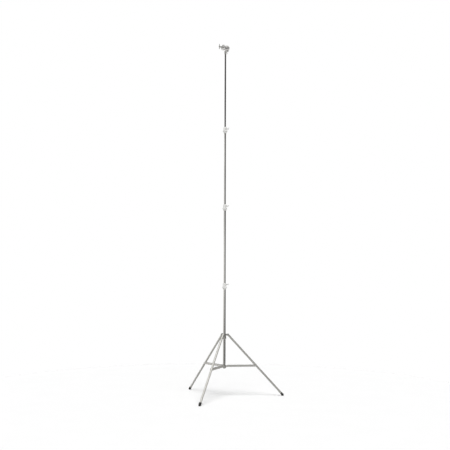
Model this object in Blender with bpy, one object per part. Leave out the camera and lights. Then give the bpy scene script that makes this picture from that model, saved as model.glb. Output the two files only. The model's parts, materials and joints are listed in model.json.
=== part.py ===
"""Overhead stand: a tall steel stand with three risers, a folding tripod base and a grip head on top.

Metres, +Z up. The origin is on the floor under the middle of the footprint's bounding box.
"""

import math

import bmesh
import bpy
from mathutils import Matrix, Vector

# Fits
TOUCH_GAP = 0.0003
PIVOT_CLEARANCE = 0.0003

# Facets of round shapes, and the angle past which an edge stays sharp
TURN_STEPS = 24
SMALL_TURN_STEPS = 12
HEXAGON_SIDES = 6
FOOT_ARC_STEPS = 6
BRACE_ARC_STEPS = 8
LUG_ARC_STEPS = 10
ARM_ARC_STEPS = 12
BACK_PLATE_ARC_STEPS = 28
SHARP_ANGLE = math.radians(35.0)

# Tripod legs, measured between the pivots
LEG_COUNT = 3
FIRST_LEG_AZIMUTH = math.radians(-30.0)
OPEN_LEG_ANGLE = math.radians(42.8)
FOLDED_LEG_ANGLE = math.radians(1.0)
LEG_UPPER_LENGTH = 0.683
LEG_LOWER_LENGTH = 0.636
LEG_TUBE_RADIUS = 0.016
LEG_TUBE_WALL = 0.0015
LEG_TOP_MARGIN = 0.012
LEG_CAP_LIP = 0.002
LEG_CAP_DEPTH = 0.0055
LEG_PIVOT_RADIUS = 0.060

# Rubber feet, each a sleeve on the leg with a round end cut flat on the floor
FOOT_BALL_RADIUS = 0.0195
FOOT_BALL_HEIGHT = 0.0165
FOOT_SLEEVE_LENGTH = 0.040
FOOT_FLOOR_THICKNESS = 0.004
FOOT_RIM_CHAMFER = 0.002

# Braces, channels that are open below
BRACE_PIVOT_RADIUS = 0.045
BRACE_SHEET = 0.0025
BRACE_BELOW_PIVOT = 0.011
BRACE_SIDE_CLEARANCE = 0.0005
BRACE_WEB_START = 0.030
BRACE_WEB_STOP = 0.046
BRACE_SHOULDER = 0.006

# Pivot rivets and screws
PIVOT_PIN_RADIUS = 0.004
RIVET_HEAD_RADIUS = 0.0075
RIVET_HEAD_HEIGHT = 0.003

# Hub at the foot of the column
HUB_RADIUS = 0.030
HUB_BELOW_PIVOT = 0.024
HUB_ABOVE_PIVOT = 0.014
HUB_RIM_CHAMFER = 0.003
TUBE_BELOW_HUB = 0.006
PLUG_LIP = 0.004
PLUG_DEPTH = 0.012
PLUG_WALL = 0.003

# Leg collar, which slides on the base tube and carries the tops of the legs
LEG_COLLAR_RADIUS = 0.025
LEG_COLLAR_ABOVE_PIVOT = 0.018
LEG_COLLAR_BELOW_PIVOT = 0.070
LEG_COLLAR_RIM_RADIUS = 0.0275
LEG_COLLAR_RIM_HEIGHT = 0.010
CLEVIS_EAR_THICKNESS = 0.005
CLEVIS_EAR_RADIUS = 0.013
CLEVIS_ROOT_REACH = 0.036
LEG_COLLAR_BOSS_BELOW_PIVOT = 0.045
LEG_COLLAR_BOSS_AZIMUTH = math.radians(30.0)
COLLAR_PARKING_GAP = 0.047

# Telescopic column
BASE_TUBE_RADIUS = 0.020
TUBE_RADIUS_STEP = 0.0025
TUBE_WALL = 0.0015
RISER_COUNT = 3
RISER_EXPOSED = 1.284
RISER_OVERLAP = 0.115
GLIDE_LENGTH = 0.020
GLIDE_SPIGOT = 0.025
GLIDE_BORE_RADIUS = 0.005

# Clamp collar on the top of each outer tube
CLAMP_ABOVE_TUBE = 0.050
CLAMP_BELOW_TUBE = 0.052
CLAMP_BODY_RADIUS = 0.028
CLAMP_SKIRT_RADIUS = 0.0370
CLAMP_SKIRT_TOP = -0.008
CLAMP_SKIRT_FLARE = 0.007
CLAMP_SKIRT_HEIGHT = 0.012
CLAMP_TOP_RADIUS = 0.0225
CLAMP_TOP_TAPER = 0.012
CLAMP_FOOT_RADIUS = 0.0245
CLAMP_BOSS_RADIUS = 0.011
CLAMP_BOSS_REACH = 0.040
CLAMP_SCREW_HEIGHT = 0.030
CLAMP_STACK_GAP = 0.003
CLAMP_TEE_TURNS = (math.radians(80.0), math.radians(65.0), math.radians(50.0))
COLLAR_SCREW_RADIUS = 0.003
COLLAR_SCREW_BELOW_TUBE = 0.043
COLLAR_SCREW_PROUD = 0.003

# Tee screws that lock the clamp collars and the leg collar
TEE_SCREW_RADIUS = 0.004
TEE_SHOE_LENGTH = 0.004
TEE_REACH = 0.066
TEE_BAR_LENGTH = 0.060
TEE_BAR_RADIUS = 0.0042
TEE_HUB_RADIUS = 0.0075
TEE_HUB_LENGTH = 0.016
LEG_COLLAR_TEE_REACH = 0.068
LEG_COLLAR_BOSS_REACH = 0.036

# Receiver on the top riser, and its own small tee screw
RECEIVER_RADIUS = 0.0175
RECEIVER_HEIGHT = 0.046
RECEIVER_FLOOR = 0.006
RECEIVER_RIM_RADIUS = 0.0195
RECEIVER_RIM_HEIGHT = 0.006
RECEIVER_GROOVE_DEPTH = 0.0015
RECEIVER_GROOVE_HEIGHT = 0.004
RECEIVER_SPIGOT = 0.040
RECEIVER_SPIGOT_WALL = 0.003
RECEIVER_SCREW_BELOW_RIM = 0.018
RECEIVER_BOSS_RADIUS = 0.007
RECEIVER_BOSS_REACH = 0.024
RECEIVER_SCREW_RADIUS = 0.003
RECEIVER_SHOE_LENGTH = 0.003
RECEIVER_TEE_REACH = 0.043
RECEIVER_TEE_BAR_LENGTH = 0.030
RECEIVER_TEE_BAR_RADIUS = 0.003
RECEIVER_TEE_HUB_RADIUS = 0.005
RECEIVER_TEE_HUB_LENGTH = 0.009

# Grip head. Its jaw axis is along X, at this height above the receiver's rim
JAW_AXIS_HEIGHT = 0.058
HEAD_PIN_RADIUS = 0.0142
HEAD_PIN_LENGTH = 0.038
HEAD_ARM_THICKNESS = 0.009
HEAD_ARM_HALF_WIDTH = 0.018
HEAD_BACK_PLATE_THICKNESS = 0.012
JAW_RADIUS = 0.046
JAW_THICKNESS = 0.028
JAW_RIM_CHAMFER = 0.004
JAW_DOME_START = 0.015
JAW_DOME_DROP = 0.010
JAW_DOME_STEPS = 4
INNER_JAW_FACE = 0.011
JAW_OPENING = 0.047
PIPE_GROOVE_OFFSET = 0.027
PIPE_GROOVE_HALF_HEIGHT = 0.014
PIPE_GROOVE_DEPTH = 0.011
ROD_GROOVE_OFFSET = 0.026
ROD_GROOVE_RADIUS = 0.008
SPRING_RECESS_RADIUS = 0.0114
SPRING_RECESS_DEPTH = 0.008
JAW_CLOSED_GAP = 0.0005
JAW_BOLT_RADIUS = 0.006
JAW_BOLT_HEAD_RADIUS = 0.011
JAW_BOLT_HEAD_HEIGHT = 0.008
FRICTION_DISC_RADIUS = 0.040
FRICTION_DISC_THICKNESS = 0.0015
BOLT_WASHER_RADIUS = 0.014
BOLT_WASHER_THICKNESS = 0.002
JAW_TEE_HUB_RADIUS = 0.0125
JAW_TEE_HUB_LENGTH = 0.067
JAW_TEE_BAR_LENGTH = 0.082
JAW_TEE_BAR_RADIUS = 0.006
JAW_TEE_BAR_INSET = 0.008
SPRING_TURNS = 6
SPRING_POINTS_PER_TURN = 10
SPRING_COIL_RADIUS = 0.0092
SPRING_WIRE_RADIUS = 0.0011

# Worked out from the sizes above
LEG_REACH = LEG_PIVOT_RADIUS + (LEG_UPPER_LENGTH + LEG_LOWER_LENGTH) * math.sin(OPEN_LEG_ANGLE)
LEG_HINGE_RADIUS = LEG_PIVOT_RADIUS + LEG_UPPER_LENGTH * math.sin(OPEN_LEG_ANGLE)
BRACE_LENGTH = LEG_HINGE_RADIUS - BRACE_PIVOT_RADIUS
HUB_PIVOT_HEIGHT = FOOT_BALL_HEIGHT + LEG_LOWER_LENGTH * math.cos(OPEN_LEG_ANGLE)
LEG_PIVOT_HEIGHT = HUB_PIVOT_HEIGHT + LEG_UPPER_LENGTH * math.cos(OPEN_LEG_ANGLE)
FOLDED_HINGE_RADIUS = LEG_PIVOT_RADIUS + LEG_UPPER_LENGTH * math.sin(FOLDED_LEG_ANGLE)
FOLDED_BRACE_ANGLE = math.acos((FOLDED_HINGE_RADIUS - BRACE_PIVOT_RADIUS) / BRACE_LENGTH)
FOLDED_PIVOT_HEIGHT = (
    HUB_PIVOT_HEIGHT
    + BRACE_LENGTH * math.sin(FOLDED_BRACE_ANGLE)
    + LEG_UPPER_LENGTH * math.cos(FOLDED_LEG_ANGLE)
)
FOLD_TRAVEL = FOLDED_PIVOT_HEIGHT - LEG_PIVOT_HEIGHT
BASE_TUBE_BOTTOM = HUB_PIVOT_HEIGHT - HUB_BELOW_PIVOT - TUBE_BELOW_HUB
BASE_TUBE_TOP = FOLDED_PIVOT_HEIGHT + LEG_COLLAR_ABOVE_PIVOT + COLLAR_PARKING_GAP + CLAMP_BELOW_TUBE
RISER_TRAVEL = RISER_EXPOSED - CLAMP_ABOVE_TUBE - CLAMP_BELOW_TUBE - CLAMP_STACK_GAP
BRACE_HALF_GAP = LEG_TUBE_RADIUS + BRACE_SIDE_CLEARANCE
BRACE_WEB_INNER = LEG_TUBE_RADIUS + BRACE_SIDE_CLEARANCE
BRACE_TOP = BRACE_WEB_INNER + BRACE_SHEET
CLEVIS_OUTER = BRACE_HALF_GAP + CLEVIS_EAR_THICKNESS
PIVOT_HOLE_RADIUS = PIVOT_PIN_RADIUS + PIVOT_CLEARANCE
TEE_HOLE_RADIUS = TEE_SCREW_RADIUS + PIVOT_CLEARANCE
OUTER_JAW_FACE = INNER_JAW_FACE - JAW_OPENING
HEAD_BACK_PLATE_START = INNER_JAW_FACE + JAW_THICKNESS + FRICTION_DISC_THICKNESS + 2 * TOUCH_GAP
HEAD_BACK_PLATE_END = HEAD_BACK_PLATE_START + HEAD_BACK_PLATE_THICKNESS
JAW_BORE_RADIUS = JAW_BOLT_RADIUS + PIVOT_CLEARANCE
JAW_TEE_START = OUTER_JAW_FACE - JAW_THICKNESS - BOLT_WASHER_THICKNESS - 2 * TOUCH_GAP
JAW_BOLT_END = JAW_TEE_START - JAW_TEE_HUB_LENGTH + TOUCH_GAP

# Finishes: colour, roughness and metallic value
FINISHES = {
    "column_chrome": ((0.60, 0.61, 0.60), 0.22, 1.0),
    "leg_steel": ((0.55, 0.56, 0.55), 0.30, 1.0),
    "cast_collar": ((0.86, 0.86, 0.85), 0.38, 1.0),
    "zinc_fastener": ((0.62, 0.63, 0.62), 0.35, 1.0),
    "dark_rubber": ((0.035, 0.035, 0.033), 0.75, 0.0),
    "black_plastic": ((0.05, 0.05, 0.05), 0.55, 0.0),
    "brass_shoe": ((0.72, 0.56, 0.28), 0.40, 1.0),
    "head_casting": ((0.64, 0.63, 0.62), 0.38, 1.0),
    "jaw_steel": ((0.60, 0.59, 0.58), 0.28, 1.0),
    "spring_steel": ((0.35, 0.35, 0.35), 0.35, 1.0),
    "friction_fibre": ((0.16, 0.13, 0.11), 0.80, 0.0),
}


def tube_radius(section):
    """Outer radius of a column tube; section 0 is the base tube and 1 to 3 are the risers."""
    return BASE_TUBE_RADIUS - TUBE_RADIUS_STEP * section


def finish_material(name):
    """The Principled BSDF material of one finish, made on its first use."""
    if name in bpy.data.materials:
        return bpy.data.materials[name]
    colour, roughness, metallic = FINISHES[name]
    material = bpy.data.materials.new(name)
    material.use_nodes = True
    shader = material.node_tree.nodes["Principled BSDF"]
    shader.inputs["Base Color"].default_value = (*colour, 1.0)
    shader.inputs["Roughness"].default_value = roughness
    shader.inputs["Metallic"].default_value = metallic
    return material


# Shapes, each made as a closed bmesh


def turned(profile, axis="Z", closed=True, steps=TURN_STEPS):
    """A (radius, height) profile spun round an axis; an open profile starts and ends on the axis."""
    shape = bmesh.new()
    corners = [shape.verts.new((radius, 0.0, height)) for radius, height in profile]
    edges = [shape.edges.new(pair) for pair in zip(corners, corners[1:])]
    if closed:
        edges.append(shape.edges.new((corners[-1], corners[0])))
    bmesh.ops.spin(
        shape,
        geom=corners + edges,
        cent=(0.0, 0.0, 0.0),
        axis=(0.0, 0.0, 1.0),
        angle=2 * math.pi,
        steps=steps,
        use_merge=True,
    )
    bmesh.ops.remove_doubles(shape, verts=shape.verts, dist=1e-7)
    bmesh.ops.recalc_face_normals(shape, faces=shape.faces)
    return pointed_along(shape, axis)


def pointed_along(shape, axis):
    """The shape with its own Z turned to lie along the named axis."""
    if axis == "X":
        bmesh.ops.transform(shape, matrix=Matrix.Rotation(math.pi / 2, 4, "Y"), verts=shape.verts)
    if axis == "Y":
        bmesh.ops.transform(shape, matrix=Matrix.Rotation(-math.pi / 2, 4, "X"), verts=shape.verts)
    return shape


def rod(radius, start, end, axis="Z", steps=SMALL_TURN_STEPS):
    """A solid round bar along an axis."""
    profile = [(0.0, start), (radius, start), (radius, end), (0.0, end)]
    return turned(profile, axis, closed=False, steps=steps)


def drill(radius, start, end, axis="Z", steps=SMALL_TURN_STEPS):
    """A round cutter along an axis, turned a third of a step so its corners miss those it cuts."""
    shape = rod(radius, start, end, "Z", steps)
    twist = Matrix.Rotation(2 * math.pi / steps / 3, 4, "Z")
    bmesh.ops.transform(shape, matrix=twist, verts=shape.verts)
    return pointed_along(shape, axis)


def ring(inner_radius, outer_radius, start, end, axis="Z", steps=TURN_STEPS):
    """A tube or washer along an axis."""
    profile = [(outer_radius, start), (outer_radius, end), (inner_radius, end), (inner_radius, start)]
    return turned(profile, axis, steps=steps)


def block(low, high):
    """A box between two opposite corners."""
    shape = bmesh.new()
    bmesh.ops.create_cube(shape, size=1.0)
    size = Vector(high) - Vector(low)
    centre = (Vector(high) + Vector(low)) / 2
    bmesh.ops.scale(shape, vec=size, verts=shape.verts)
    bmesh.ops.translate(shape, vec=centre, verts=shape.verts)
    return shape


def plate(outline, start, end):
    """An (x, z) outline extruded along Y from start to end."""
    shape = bmesh.new()
    face = shape.faces.new([shape.verts.new((x, start, z)) for x, z in outline])
    extruded = bmesh.ops.extrude_face_region(shape, geom=[face])
    moved = [item for item in extruded["geom"] if isinstance(item, bmesh.types.BMVert)]
    bmesh.ops.translate(shape, vec=(0.0, end - start, 0.0), verts=moved)
    bmesh.ops.recalc_face_normals(shape, faces=shape.faces)
    return shape


def arc(centre, radius, start_degrees, end_degrees, steps):
    """Points along an arc in the (x, z) plane."""
    points = []
    for step in range(steps + 1):
        angle = math.radians(start_degrees + (end_degrees - start_degrees) * step / steps)
        points.append((centre[0] + radius * math.cos(angle), centre[1] + radius * math.sin(angle)))
    return points


def shifted(shape, offset):
    """The shape moved by an offset."""
    bmesh.ops.translate(shape, vec=offset, verts=shape.verts)
    return shape


def swung(shape, angle):
    """The shape turned round the column axis."""
    bmesh.ops.transform(shape, matrix=Matrix.Rotation(angle, 4, "Z"), verts=shape.verts)
    return shape


def combined(shape, tool, operation):
    """The exact Boolean of two shapes."""
    collection = bpy.context.scene.collection
    meshes = [bpy.data.meshes.new(part) for part in ("shape", "tool")]
    objects = []
    for source, mesh in zip((shape, tool), meshes):
        source.to_mesh(mesh)
        source.free()
        helper = bpy.data.objects.new(mesh.name, mesh)
        collection.objects.link(helper)
        objects.append(helper)
    modifier = objects[0].modifiers.new("combine", "BOOLEAN")
    modifier.operation = operation
    modifier.solver = "EXACT"
    modifier.object = objects[1]
    evaluated = objects[0].evaluated_get(bpy.context.evaluated_depsgraph_get())
    result = bmesh.new()
    result.from_mesh(evaluated.to_mesh())
    evaluated.to_mesh_clear()
    for helper in objects:
        bpy.data.objects.remove(helper)
    for mesh in meshes:
        bpy.data.meshes.remove(mesh)
    bmesh.ops.remove_doubles(result, verts=result.verts, dist=1e-6)
    bmesh.ops.recalc_face_normals(result, faces=result.faces)
    return result


def cut(shape, *tools):
    """The shape with each tool taken away."""
    for tool in tools:
        shape = combined(shape, tool, "DIFFERENCE")
    return shape


def joined(shape, *others):
    """One body made of the shape and the others."""
    for other in others:
        shape = combined(shape, other, "UNION")
    return shape


# Objects


def make_frame(name, parent, location=(0.0, 0.0, 0.0), rotation=(0.0, 0.0, 0.0)):
    """An empty that places what hangs from it."""
    frame = bpy.data.objects.new(name, None)
    bpy.context.scene.collection.objects.link(frame)
    frame.parent = parent
    frame.location = location
    frame.rotation_euler = rotation
    return frame


def make_object(name, shape, finish, parent, location=(0.0, 0.0, 0.0), rotation=(0.0, 0.0, 0.0)):
    """A named sub-part with its material, smooth on its round faces."""
    mesh = bpy.data.meshes.new(name)
    shape.to_mesh(mesh)
    shape.free()
    mesh.materials.append(finish_material(finish))
    mesh.shade_smooth()
    mesh.set_sharp_from_angle(angle=SHARP_ANGLE)
    piece = bpy.data.objects.new(name, mesh)
    bpy.context.scene.collection.objects.link(piece)
    piece.parent = parent
    piece.location = location
    piece.rotation_euler = rotation
    return piece


# Folding base


def leg_azimuths():
    """The direction of each leg round the column."""
    return [FIRST_LEG_AZIMUTH + 2 * math.pi * index / LEG_COUNT for index in range(LEG_COUNT)]


def make_base_tube(column):
    """The outermost tube of the column and the plug in its lower end."""
    radius = tube_radius(0)
    tube = ring(radius - TUBE_WALL, radius, BASE_TUBE_BOTTOM, BASE_TUBE_TOP)
    make_object("base_column", tube, "column_chrome", column)
    spigot_radius = radius - TUBE_WALL - TOUCH_GAP
    bottom = -TOUCH_GAP
    plug = [
        (0.0, bottom - PLUG_LIP),
        (radius, bottom - PLUG_LIP),
        (radius, bottom),
        (spigot_radius, bottom),
        (spigot_radius, PLUG_DEPTH),
        (spigot_radius - PLUG_WALL, PLUG_DEPTH),
        (spigot_radius - PLUG_WALL, bottom),
        (0.0, bottom),
    ]
    solid = turned(plug, closed=False)
    make_object("column_plug", solid, "black_plastic", column, (0.0, 0.0, BASE_TUBE_BOTTOM))


def hub_lug():
    """One lug of the hub, pointing along X, that a brace straddles."""
    radius = BRACE_BELOW_PIVOT
    outline = [(BASE_TUBE_RADIUS + TOUCH_GAP, -radius)]
    outline += arc((BRACE_PIVOT_RADIUS, 0.0), radius, -90.0, 90.0, LUG_ARC_STEPS)
    outline += [(BASE_TUBE_RADIUS + TOUCH_GAP, radius)]
    half = BRACE_HALF_GAP - TOUCH_GAP
    return plate(outline, -half, half)


def make_hub(column):
    """The fixed casting at the foot of the column, with a lug for each brace."""
    body = [
        (HUB_RADIUS - HUB_RIM_CHAMFER, -HUB_BELOW_PIVOT),
        (HUB_RADIUS, -HUB_BELOW_PIVOT + HUB_RIM_CHAMFER),
        (HUB_RADIUS, HUB_ABOVE_PIVOT),
        (BASE_TUBE_RADIUS, HUB_ABOVE_PIVOT),
        (BASE_TUBE_RADIUS, -HUB_BELOW_PIVOT),
    ]
    shape = turned(body)
    reach = BRACE_HALF_GAP + BRACE_SHEET
    for azimuth in leg_azimuths():
        shape = joined(shape, swung(hub_lug(), azimuth))
    for azimuth in leg_azimuths():
        hole = shifted(drill(PIVOT_HOLE_RADIUS, -reach, reach, "Y"), (BRACE_PIVOT_RADIUS, 0.0, 0.0))
        shape = cut(shape, swung(hole, azimuth))
    bore = drill(BASE_TUBE_RADIUS + TOUCH_GAP, -LEG_REACH, LEG_REACH, steps=TURN_STEPS)
    shape = cut(shape, bore)
    make_object("base_hub", shape, "cast_collar", column, (0.0, 0.0, HUB_PIVOT_HEIGHT))


def clevis_shape():
    """A clevis pointing along X: two ears either side of a leg, on a solid root."""
    outline = [(BASE_TUBE_RADIUS, -CLEVIS_EAR_RADIUS)]
    outline += arc((LEG_PIVOT_RADIUS, 0.0), CLEVIS_EAR_RADIUS, -90.0, 90.0, LUG_ARC_STEPS)
    outline += [(BASE_TUBE_RADIUS, CLEVIS_EAR_RADIUS)]
    body = plate(outline, -CLEVIS_OUTER, CLEVIS_OUTER)
    past_ears = LEG_PIVOT_RADIUS + 2 * CLEVIS_EAR_RADIUS
    slot_low = (CLEVIS_ROOT_REACH, -BRACE_HALF_GAP, -2 * CLEVIS_EAR_RADIUS)
    slot = block(slot_low, (past_ears, BRACE_HALF_GAP, 2 * CLEVIS_EAR_RADIUS))
    hole = drill(PIVOT_HOLE_RADIUS, -2 * CLEVIS_OUTER, 2 * CLEVIS_OUTER, "Y")
    return cut(body, slot, shifted(hole, (LEG_PIVOT_RADIUS, 0.0, 0.0)))


def make_leg_collar(slider):
    """The sliding collar with a clevis for each leg, and the screws that the legs turn on."""
    rim_top = -LEG_COLLAR_BELOW_PIVOT + LEG_COLLAR_RIM_HEIGHT
    barrel = [
        (LEG_COLLAR_RIM_RADIUS, -LEG_COLLAR_BELOW_PIVOT),
        (LEG_COLLAR_RIM_RADIUS, rim_top),
        (LEG_COLLAR_RADIUS, rim_top),
        (LEG_COLLAR_RADIUS, LEG_COLLAR_ABOVE_PIVOT),
        (BASE_TUBE_RADIUS, LEG_COLLAR_ABOVE_PIVOT),
        (BASE_TUBE_RADIUS, -LEG_COLLAR_BELOW_PIVOT),
    ]
    shape = turned(barrel)
    for azimuth in leg_azimuths():
        shape = joined(shape, swung(clevis_shape(), azimuth))
    screw_place = (0.0, 0.0, -LEG_COLLAR_BOSS_BELOW_PIVOT)
    boss = shifted(rod(CLAMP_BOSS_RADIUS, BASE_TUBE_RADIUS, LEG_COLLAR_BOSS_REACH, "X"), screw_place)
    hole = shifted(drill(TEE_HOLE_RADIUS, 0.0, 2 * LEG_COLLAR_BOSS_REACH, "X"), screw_place)
    shape = joined(shape, swung(boss, LEG_COLLAR_BOSS_AZIMUTH))
    shape = cut(shape, swung(hole, LEG_COLLAR_BOSS_AZIMUTH))
    shape = cut(shape, drill(BASE_TUBE_RADIUS + TOUCH_GAP, -LEG_REACH, LEG_REACH, steps=TURN_STEPS))
    make_object("leg_collar", shape, "cast_collar", slider)

    for index, azimuth in enumerate(leg_azimuths(), start=1):
        plane = make_frame(f"clevis_plane_{index}", slider, rotation=(0.0, 0.0, azimuth))
        pivot = (LEG_PIVOT_RADIUS, 0.0, 0.0)
        sides = {"a": (0.0, 0.0, 0.0), "b": (0.0, 0.0, math.pi)}
        for side, turn in sides.items():
            name = f"leg_pivot_screw_{index}{side}"
            make_object(name, pivot_screw_shape(), "zinc_fastener", plane, pivot, turn)


def pivot_screw_shape():
    """A short shoulder screw along Y, headed outside an ear and flush with its inner face."""
    start = BRACE_HALF_GAP + TOUCH_GAP
    head_start = CLEVIS_OUTER + TOUCH_GAP
    profile = [
        (0.0, start),
        (PIVOT_PIN_RADIUS, start),
        (PIVOT_PIN_RADIUS, head_start),
        (RIVET_HEAD_RADIUS, head_start),
        (RIVET_HEAD_RADIUS, head_start + RIVET_HEAD_HEIGHT),
        (0.0, head_start + RIVET_HEAD_HEIGHT),
    ]
    return turned(profile, "Y", closed=False, steps=SMALL_TURN_STEPS)


def brace_flange_outline():
    """Side view of a brace: round ends about both pivots, straight along the top."""
    outline = arc((0.0, 0.0), BRACE_BELOW_PIVOT, 120.0, 270.0, BRACE_ARC_STEPS)
    outline += arc((BRACE_LENGTH, 0.0), BRACE_BELOW_PIVOT, -90.0, 60.0, BRACE_ARC_STEPS)
    outline += [(BRACE_LENGTH - BRACE_SHOULDER, BRACE_TOP), (BRACE_SHOULDER, BRACE_TOP)]
    return outline


def brace_shape():
    """A channel along X, open below, with its web cut back where the leg crosses it."""
    outer = BRACE_HALF_GAP + BRACE_SHEET
    shape = plate(brace_flange_outline(), -outer, outer)
    below = -BRACE_TOP
    past_end = BRACE_LENGTH + BRACE_TOP
    inside = block((-BRACE_TOP, -BRACE_HALF_GAP, below), (past_end, BRACE_HALF_GAP, BRACE_WEB_INNER))
    near_hub = block((-BRACE_TOP, -BRACE_HALF_GAP, below), (BRACE_WEB_START, BRACE_HALF_GAP, 2 * BRACE_TOP))
    near_leg_start = BRACE_LENGTH - BRACE_WEB_STOP
    near_leg = block((near_leg_start, -BRACE_HALF_GAP, below), (past_end, BRACE_HALF_GAP, 2 * BRACE_TOP))
    holes = []
    for place in (0.0, BRACE_LENGTH):
        holes.append(shifted(drill(PIVOT_HOLE_RADIUS, -2 * outer, 2 * outer, "Y"), (place, 0.0, 0.0)))
    return cut(shape, inside, near_hub, near_leg, *holes)


def pivot_rivet():
    """A rivet through both flanges of a brace, headed at both ends."""
    head_start = BRACE_HALF_GAP + BRACE_SHEET + TOUCH_GAP
    head_end = head_start + RIVET_HEAD_HEIGHT
    profile = [
        (0.0, -head_end),
        (RIVET_HEAD_RADIUS, -head_end),
        (RIVET_HEAD_RADIUS, -head_start),
        (PIVOT_PIN_RADIUS, -head_start),
        (PIVOT_PIN_RADIUS, head_start),
        (RIVET_HEAD_RADIUS, head_start),
        (RIVET_HEAD_RADIUS, head_end),
        (0.0, head_end),
    ]
    return turned(profile, "Y", closed=False, steps=SMALL_TURN_STEPS)


def leg_shape():
    """A leg tube along Z with its origin at the brace's rivet and a cross hole at each pivot."""
    bottom = -LEG_LOWER_LENGTH + FOOT_FLOOR_THICKNESS
    top = LEG_UPPER_LENGTH + LEG_TOP_MARGIN
    shape = ring(LEG_TUBE_RADIUS - LEG_TUBE_WALL, LEG_TUBE_RADIUS, bottom, top, steps=TURN_STEPS)
    for height in (0.0, LEG_UPPER_LENGTH):
        hole = drill(PIVOT_HOLE_RADIUS, -2 * LEG_TUBE_RADIUS, 2 * LEG_TUBE_RADIUS, "Y")
        shape = cut(shape, shifted(hole, (0.0, 0.0, height)))
    return shape


def leg_cap_shape():
    """The cap in a leg's upper end, with a short hollow spigot."""
    spigot_radius = LEG_TUBE_RADIUS - LEG_TUBE_WALL - TOUCH_GAP
    profile = [
        (0.0, LEG_CAP_LIP),
        (LEG_TUBE_RADIUS - LEG_TUBE_WALL, LEG_CAP_LIP),
        (LEG_TUBE_RADIUS, TOUCH_GAP),
        (spigot_radius, TOUCH_GAP),
        (spigot_radius, -LEG_CAP_DEPTH),
        (0.0, -LEG_CAP_DEPTH),
    ]
    return turned(profile, closed=False, steps=TURN_STEPS)


def foot_shape():
    """A rubber foot round the ball centre, along the leg's Z, cut flat where it meets the floor."""
    bore_radius = LEG_TUBE_RADIUS + TOUCH_GAP
    floor = FOOT_FLOOR_THICKNESS - TOUCH_GAP
    round_end = arc((0.0, 0.0), FOOT_BALL_RADIUS, -90.0, 0.0, FOOT_ARC_STEPS)
    profile = [(0.0, -FOOT_BALL_RADIUS)] + round_end[1:]
    profile += [
        (FOOT_BALL_RADIUS, FOOT_SLEEVE_LENGTH - FOOT_RIM_CHAMFER),
        (FOOT_BALL_RADIUS - FOOT_RIM_CHAMFER, FOOT_SLEEVE_LENGTH),
        (bore_radius, FOOT_SLEEVE_LENGTH),
        (bore_radius, floor),
        (0.0, floor),
    ]
    shape = turned(profile, closed=False, steps=TURN_STEPS)
    size = 2 * FOOT_SLEEVE_LENGTH
    ground = block((-size, -size, -size), (size, size, -FOOT_BALL_HEIGHT))
    bmesh.ops.transform(ground, matrix=Matrix.Rotation(OPEN_LEG_ANGLE, 4, "Y"), verts=ground.verts)
    return cut(shape, ground)


def make_leg_set(column):
    """Each brace hinged on the hub, and on it the leg with its foot and cap."""
    for index, azimuth in enumerate(leg_azimuths(), start=1):
        plane = make_frame(f"fold_plane_{index}", column, rotation=(0.0, 0.0, azimuth))
        hub_pivot = (BRACE_PIVOT_RADIUS, 0.0, HUB_PIVOT_HEIGHT)
        brace = make_object(f"brace_{index}", brace_shape(), "leg_steel", plane, hub_pivot)
        hinge = (BRACE_LENGTH, 0.0, 0.0)
        make_object(f"hub_rivet_{index}", pivot_rivet(), "zinc_fastener", plane, hub_pivot)
        make_object(f"leg_rivet_{index}", pivot_rivet(), "zinc_fastener", brace, hinge)
        tilt = (0.0, -OPEN_LEG_ANGLE, 0.0)
        leg = make_object(f"leg_{index}", leg_shape(), "leg_steel", brace, hinge, tilt)
        cap_height = LEG_UPPER_LENGTH + LEG_TOP_MARGIN
        make_object(f"leg_cap_{index}", leg_cap_shape(), "black_plastic", leg, (0.0, 0.0, cap_height))
        make_object(f"foot_{index}", foot_shape(), "dark_rubber", leg, (0.0, 0.0, -LEG_LOWER_LENGTH))


# Locking screws


def make_tee_screw(name, frame, tube, screw, shoe_length, reach, bar, hub, bar_turn=0.0):
    """A pressure shoe against a tube and the tee screw behind it, both along the frame's X.

    tube is the radius that the shoe presses on and screw is the screw's radius;
    bar and hub are the (radius, length) of the cross bar and of the thick part it passes through.
    bar_turn is how far the screw has turned the bar from upright.
    """
    shoe_start = tube + TOUCH_GAP
    shoe_end = shoe_start + shoe_length
    make_object(f"{name}_shoe", rod(screw, shoe_start, shoe_end, "X"), "brass_shoe", frame)
    hub_radius, hub_length = hub
    bar_radius, bar_length = bar
    profile = [
        (0.0, shoe_end + TOUCH_GAP),
        (screw, shoe_end + TOUCH_GAP),
        (screw, reach - hub_length / 2),
        (hub_radius, reach - hub_length / 2),
        (hub_radius, reach + hub_length / 2),
        (0.0, reach + hub_length / 2),
    ]
    shank = turned(profile, "X", closed=False, steps=SMALL_TURN_STEPS)
    cross_bar = rod(bar_radius, -bar_length / 2, bar_length / 2)
    bmesh.ops.transform(cross_bar, matrix=Matrix.Rotation(bar_turn, 4, "X"), verts=cross_bar.verts)
    shape = joined(shank, shifted(cross_bar, (reach, 0.0, 0.0)))
    make_object(f"{name}_tee", shape, "cast_collar", frame)


# Column


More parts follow.
